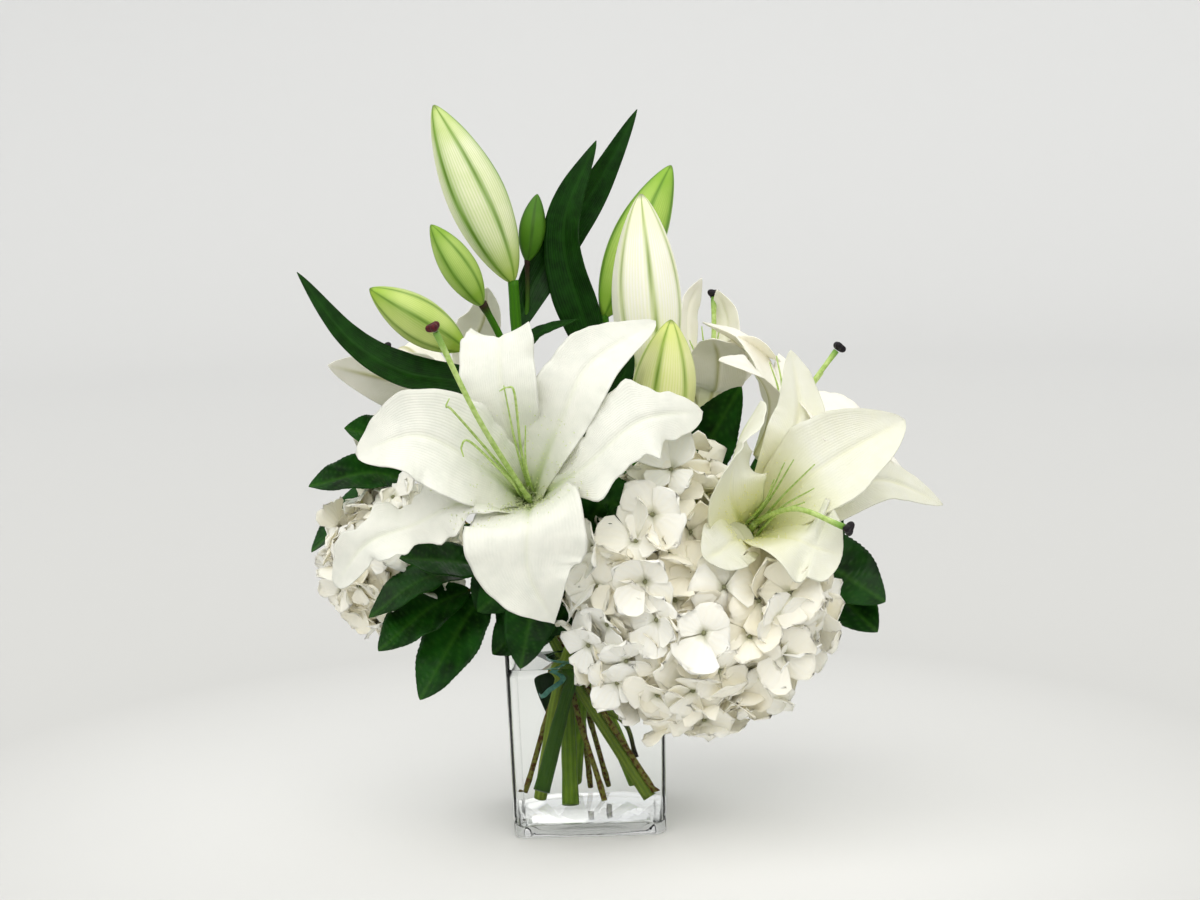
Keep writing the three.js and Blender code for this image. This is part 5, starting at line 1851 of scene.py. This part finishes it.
@dataclass(frozen=True)
class Vase:
    """The square pressed-glass vase, and the water in it.

    Attributes:
        foot: outer width at the foot.
        rim: outer width at the rim.
        height: of the vase.
        wall: thickness.
        floor: height of the inner floor's middle.
        sunk: how much lower it is in its corners.
        crease: radius between the inner floor and the walls.
        corner: radius of the outer upright edges.
        heel: radius of the edge round the foot.
        level: of the water.
        climb: how high the water climbs the glass.
        lap: how far the water reaches into the glass, so that no film of air shows.
    """

    foot: float = 98
    rim: float = 104
    height: float = 152
    wall: float = 4
    floor: float = 16
    sunk: float = 9
    crease: float = 2
    corner: float = 8
    heel: float = 1.6
    level: float = 110
    climb: float = 1.4
    lap: float = 0.2

    def outer_half(self, z: Array | float) -> Array:
        """Half the outer width at a height."""
        return (self.foot + (self.rim - self.foot) * np.asarray(z, float) / self.height) / 2

    def inner_half(self, z: Array | float) -> Array:
        """Half the inner width at a height."""
        return self.outer_half(z) - self.wall

    def ring(self, half: float, corner: float) -> Array:
        """A level square with round corners, clockwise from above, as points by 2.

        Each corner is an arc of 25 points with two more on the flats beside it, so that the
        flats stay flat.
        """
        corner = min(corner, half * 0.98)
        arc = np.linspace(0, np.pi / 2, 25)
        inset = half - corner
        beside = min(1.5, inset * 0.3)
        x = np.concatenate([[half], inset + corner * np.cos(arc), [inset - beside]])
        y = np.concatenate([[inset - beside], inset + corner * np.sin(arc), [half]])
        quarter = np.stack([x, y], -1)
        turns = [np.array([[c, -s], [s, c]]) for c, s in ((1, 0), (0, 1), (-1, 0), (0, -1))]
        return np.concatenate([quarter @ turn.T for turn in turns])[::-1]

    def skin(self, rows: Sequence[tuple[float, float, float]], bed: Sequence[bool]) -> Shell:
        """A closed skin through level rings.

        Args:
            rows: half width, corner radius and height of each ring.
            bed: whether a ring lies on the arched inner floor, whose height falls with the
                square of the place along x and y, most of all in the corners.

        Returns:
            The skin.
        """
        grids = []
        inner = float(self.inner_half(self.floor))
        for (half, corner, z), arched in zip(rows, bed):
            flat = self.ring(half, corner)
            x, y = np.clip(np.abs(flat.T) / inner, 0, 1)
            drop = self.sunk * (x * y) ** 1.3 + 2.0 * (x**2 + y**2) / 2 if arched else 0 * x
            grids.append(np.column_stack([flat, z - drop]))
        return closed_skin(np.array(grids))

    def inner_rows(self, heights: Sequence[float], lap: float = 0) -> list[Point]:
        """Rings of the inner wall at some heights."""
        corner = self.corner - self.wall
        return [(float(self.inner_half(z)) + lap, corner, z) for z in heights]

    def floor_rows(self, lap: float = 0) -> list[tuple[float, float, float]]:
        """Rings of the inner floor, from the middle to the wall, with its round foot."""
        half, low = float(self.inner_half(self.floor)) + lap, self.floor - lap
        corner, crease = self.corner - self.crease, self.crease
        shares = np.concatenate([[0.02], np.linspace(0.12, 0.9, 12)])
        rows = [(half * s, corner * max(s, 0.3), low) for s in shares]
        rows += [
            (half - crease * (1 - math.sin(t)), corner, low + crease * (1 - math.cos(t)))
            for t in np.linspace(0.15, 1.0, 6) * np.pi / 2
        ]
        return rows

    def glass(self) -> Shell:
        """The vase: flat underside, outer wall, round rim, inner wall and arched floor."""
        flat, heel, lip = self.foot / 2 - self.heel, self.heel, self.wall / 2
        rows = [(8, 3, 0.9), (36, 6, 0.8), (42, 6.4, 0.5), (46, 6.6, 0.02)]
        rows += [
            (flat + heel * math.sin(t), self.corner, heel - heel * math.cos(t))
            for t in np.linspace(0, np.pi / 2, 6)
        ]
        rows += [(float(self.outer_half(z)), self.corner, z) for z in (3.2, 20, 60, 100, 130, 147)]
        middle = float(self.outer_half(self.height)) - lip
        inset, top = self.corner - lip, self.height - lip
        rows += [
            (middle + lip * math.cos(t), inset + lip * math.cos(t), top + lip * math.sin(t))
            for t in np.linspace(0, np.pi, 13)
        ]
        rows += self.inner_rows((147, 120, 90, 60, 35, 24))
        bed = self.floor_rows()[::-1]
        return self.skin(rows + bed, [False] * len(rows) + [True] * len(bed))

    def water(self) -> Shell:
        """The water, with a raised rim where it climbs the glass."""
        bed = self.floor_rows(self.lap)
        rows = self.inner_rows((24, 35, 60, 90, 105), self.lap)
        wall, corner = float(self.inner_half(self.level)) + self.lap, self.corner - self.wall
        rows.append((wall, corner, self.level + self.climb))
        for inward in (0.5, 1.0, 1.8, 3.0, 4.5, 7.0):
            rise = self.climb * math.exp(-inward / 1.2)
            rows.append((wall - inward, max(corner - inward / 2, 1.5), self.level + rise))
        rows += [(wall * s, 1.5, self.level) for s in (0.7, 0.4, 0.1)]
        return self.skin(bed + rows, [True] * len(bed) + [False] * len(rows))


@dataclass(frozen=True)
class StemTie:
    """The thin tape that binds the stems, wound a few times, with a loose end.

    Attributes:
        turns: how often it goes round.
        width: of the tape.
        thickness: of the tape.
        climb: how much higher it ends than it starts.
        steps: points along it.
        loose: the loose end's way from the last turn.
    """

    turns: float = 3.0
    width: float = 3.4
    thickness: float = 0.5
    climb: float = 4.2
    steps: int = 260
    loose: tuple[Point, ...] = ((-3, -5, -3), (-10, -8, -7), (-15, -6, -12), (-17, -3, -11))

    def shell(self) -> Shell:
        """The tape: an oval section carried round the bundle, its radius and height wandering."""
        low, high = (np.array(corner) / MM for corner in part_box("stem_tie"))
        centre, radius = (low + high) / 2, (high[0] - low[0]) / 2
        share = np.linspace(0, 1, 160)
        angle = -0.6 * np.pi + 2 * np.pi * self.turns * share
        size = radius - 1.1 + 0.7 * ripple(share * 4, 5)
        rise = (share - 0.5) * self.climb + 0.9 * ripple(share * 5, 9)
        coil = centre + np.stack([size * np.cos(angle), size * np.sin(angle), rise], -1)
        knots = np.vstack([coil[0] + np.array(self.loose[::-1]), coil])
        middle, along = route(knots, np.linspace(0, 1, self.steps))
        outward = across(middle - centre, along)
        height = np.cross(outward, along)
        turn = circle(10)
        section = (
            np.cos(turn)[:, None] * outward[:, None] * self.thickness / 2
            + np.sin(turn)[:, None] * height[:, None] * self.width / 2
        )
        return closed_skin(middle[:, None] + section)


# ---------------------------------------------------------------- stage


@dataclass(frozen=True)
class Studio:
    """The pale sweep, the soft lights and the camera of the photograph.

    Attributes:
        focal_mm: of the lens.
        sensor_mm: width of the sensor.
        pitch: how far the camera looks down, in degrees.
        roll: how far it is turned about its line of sight, in degrees.
        eye: where it stands, in millimetres.
        floor_radius: flat part of the sweep, in metres.
        bend: radius of the sweep's bend, in metres.
        wall: height of the sweep, in metres.
        sides: points round the sweep.
        world: strength of the light from all around.
        softness: the lamps' apparent size in degrees.
        lamps: by name, strength, the direction that the lamp stands in, and its colour.
        bounces: how often light may be bent or thrown back, for the thick glass.
        diffuse: how often light is thrown on between matt surfaces, for the deep white heads.
    """

    focal_mm: float = 70.86
    sensor_mm: float = 36
    pitch: float = 8.4
    roll: float = 1.7
    eye: Point = (13.5, -1519.0, 469.0)
    floor_radius: float = 2.8
    bend: float = 1.5
    wall: float = 2.0
    sides: int = 96
    world: float = 0.82
    softness: float = 95
    lamps: tuple[tuple[str, float, Point, str], ...] = (
        ("key", 2.25, (-0.4, -1.0, 0.8), "FFFDF8"),
        ("fill", 0.9, (0.3, -1.0, 0.25), "FFFAF2"),
        ("rim", 0.76, (0.9, 0.5, 0.7), "FFFDF6"),
    )
    bounces: int = 32
    diffuse: int = 10

    def sweep(self, material: Material) -> Object:
        """The round sweep: a flat floor that bends up to a wall, turned about the upright axis."""
        turn = np.linspace(0, np.pi / 2, 25)
        flat = np.array([0.05, 0.4, 0.9, 1.5])
        far = self.floor_radius + self.bend
        radius = np.concatenate([flat, self.floor_radius + self.bend * np.sin(turn), [far]])
        height = np.concatenate([0 * flat, self.bend * (1 - np.cos(turn)), [self.wall]])
        out = spokes(np.array([1.0, 0, 0]), np.array([0, 0, 1.0]), circle(self.sides))
        grid = radius[:, None, None] * out + height[:, None, None] * (0, 0, 1)
        shell = closed_skin(grid / MM)
        shell.tris, shell.tri_uv = shell.tris[: self.sides], shell.tri_uv[: self.sides]
        floor = built("sweep", shell, material)
        floor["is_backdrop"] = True
        return floor

    def lamp(self, name: str, strength: float, place: Point, tone: str) -> None:
        """A broad far lamp that lights everything from one side, with soft shadows.

        Args:
            name: its name.
            strength: of its light.
            place: the direction that it stands in.
            tone: its colour.
        """
        light = bpy.data.lights.new(name, "SUN")
        light.energy, light.color = strength, linear(tone)[:3]
        light.angle = math.radians(self.softness)
        lamp = bpy.data.objects.new(name, light)
        lamp.rotation_euler = Vector(place).to_track_quat("Z", "Y").to_euler()
        lamp.visible_camera = False
        bpy.context.collection.objects.link(lamp)

    def lights(self) -> None:
        """The lamps in front and behind, and an even light all round."""
        world = bpy.data.worlds.new("studio")
        world.use_nodes = True
        background = world.node_tree.nodes["Background"]
        background.inputs["Color"].default_value = linear("FDFEFF")
        background.inputs["Strength"].default_value = self.world
        bpy.context.scene.world = world
        for lamp in self.lamps:
            self.lamp(*lamp)

    def camera(self) -> None:
        """The photograph's camera, level with the blooms and turned a little about its view."""
        pitch, roll = math.radians(self.pitch), math.radians(self.roll)
        ahead = Vector((0, math.cos(pitch), -math.sin(pitch)))
        level, upright = Vector((1, 0, 0)), Vector((0, math.sin(pitch), math.cos(pitch)))
        right = math.cos(roll) * level - math.sin(roll) * upright
        up = math.sin(roll) * level + math.cos(roll) * upright
        turned = Matrix((right, up, -ahead)).transposed().to_4x4()
        lens = bpy.data.cameras.new("camera")
        lens.lens, lens.sensor_width, lens.sensor_fit = self.focal_mm, self.sensor_mm, "HORIZONTAL"
        camera = bpy.data.objects.new("camera", lens)
        camera.matrix_world = Matrix.Translation(Vector(self.eye) * MM) @ turned
        bpy.context.collection.objects.link(camera)
        scene = bpy.context.scene
        bpy.context.scene.camera = camera
        scene.cycles.max_bounces = scene.cycles.transmission_bounces = self.bounces
        scene.cycles.diffuse_bounces = self.diffuse
        scene.view_settings.view_transform = "Standard"


# ---------------------------------------------------------------- putting it together


def dress_vase() -> None:
    """Dresses the vase, the water in it and the tie round the stems."""
    vase = Vase()
    glass = ClearFinish("pressed_soda_glass", roughness=0.0, ior=1.5, tint="FEFFFE")
    dressed("glass_vase", vase.glass(), glass.material())
    water = ClearFinish("still_water", roughness=0.0, ior=1.33, tint="FFFFFF")
    dressed("water", vase.water(), water.material())
    tape = PlainFinish(
        "waxed_floral_tape", roughness=0.35, light="76BCA6", dark="3C8272", grain_mm=4,
    )
    dressed("stem_tie", StemTie().shell(), tape.material())


def dress_stems() -> None:
    """Dresses the stems with their stalks and leaves."""
    finishes = {
        StemKind.LILY: StemFinish("lily_stem_and_leaf", bump_mm=0.25, gloss=0.14),
        StemKind.HYDRANGEA: StemFinish(
            "hydrangea_stem", roughness=0.6, bump_mm=0.2, gloss=0.25, green="74962A", pale="A9C246",
        ),
        StemKind.SALAL: LeafFinish("leathery_leaf", roughness=0.34, bump_mm=0.35, gloss=0.16),
    }
    materials = {kind: finish.material() for kind, finish in finishes.items()}
    knots = StemBundle().knots()
    for name, (radius, _) in STEMS.items():
        kind = StemKind.of(name)
        dressed(name, Stem(name, knots[name], radius).shell(), materials[kind])


def dress_lilies() -> list[Array]:
    """Dresses the open lilies.

    Returns:
        The middle surface of each tepal.
    """
    white = PetalFinish("white_lily_petal", bump_mm=0.35, gloss=0.25, thin=0.1).material()
    cream = PetalFinish(
        "cream_lily_petal", bump_mm=0.3, gloss=0.25, thin=0.1,
        white="EFEFE1", shade="EBEBD4", throat="FAF8AE", streak="D6E07C", reach=0.62,
    ).material()
    # flowers seen from behind: their own creamy tone and olive rib, on a ground whiter than lily a's as
    # painted light on their shaded backs
    lit_backs = PetalFinish(
        "lily_petal_back", bump_mm=0.3, gloss=0.3, thin=0.1,
        white="FFFCF2", shade="F8F5E6", throat="EEF0C4", rib="B4B25E",
    ).material()
    green_pistil = PlainFinish(
        "lily_pistil", roughness=0.4, light="BFD488", dark="9DBB5C", tipped="6E9A3C", soak=0.15, gloss=0.3,
    ).material()
    burgundy, black = (
        PlainFinish(
            name, roughness=0.55, bump_mm=0.4, light=light, dark=dark, grain_mm=1.2, gloss=0.3,
        ).material()
        for name, light, dark in (("ripe_stigma", "5E0F1A", "2E060C"), ("dark_stigma", "1A1018", "0C080C"))
    )
    surfaces = []
    for name in BLOOMS:
        lily = Lily(name, *FRONTS.get(name, ()))
        petal = {"lily_a": white, "lily_b": cream}.get(name, lit_backs)
        dressed(f"{name}_tepals", lily.perianth(), petal)
        surfaces += lily.surfaces
        dressed(f"{name}_pistil", lily.pistil(), green_pistil)
        dark = burgundy if name == "lily_a" else black
        dressed(f"{name}_stigma", lily.stigma(), dark)
    return surfaces


def dress_buds() -> None:
    """Dresses the closed buds, each with a finish of its own."""
    for name, bud in BUDS.items():
        dressed(name, bud.shell(), bud.finish(f"{name}_skin").material())


def dress_heads(surfaces: Sequence[Array]) -> None:
    """Dresses the two hydrangea heads.

    Args:
        surfaces: the lilies' tepals, which the florets give way to.
    """
    resting = np.concatenate([surface[::4, ::4].reshape(-1, 3) for surface in surfaces])
    floret = FloretFinish(
        "hydrangea_sepal", roughness=0.6, bump_mm=0.2, gloss=0.12, thin=0.08
    ).material()
    for name, centre, semi, florets, lobe, seed, bare in (
        ("hydrangea_head_1", (70, -86, 170), (82, 53, 88), 150, 23, 11,
         (((114, -78, 206), 34), ((8, -108, 238), 34))),
        ("hydrangea_head_2", (-121, -24, 182), (42, 36, 48), 66, 17, 23, ()),
    ):
        middle, size = np.array(centre, float), np.array(semi, float)
        head = HydrangeaHead(name, middle, size, florets, lobe, seed, resting, bare)
        dressed(name, head.shell(), floret)


def main() -> None:
    """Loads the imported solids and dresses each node."""
    logging.basicConfig(level=logging.INFO, format="%(name)s: %(message)s")
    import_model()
    solid_box = [list(corner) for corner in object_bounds()]
    ENVELOPE[:] = solid_box

    studio = Studio()
    studio.camera()
    studio.lights()
    studio.sweep(SweepFinish("matt_studio_paper", roughness=0.9).material())
    dress_vase()
    dress_stems()
    surfaces = dress_lilies()
    dress_buds()
    dress_heads(surfaces)


if __name__ == "__main__":
    main()
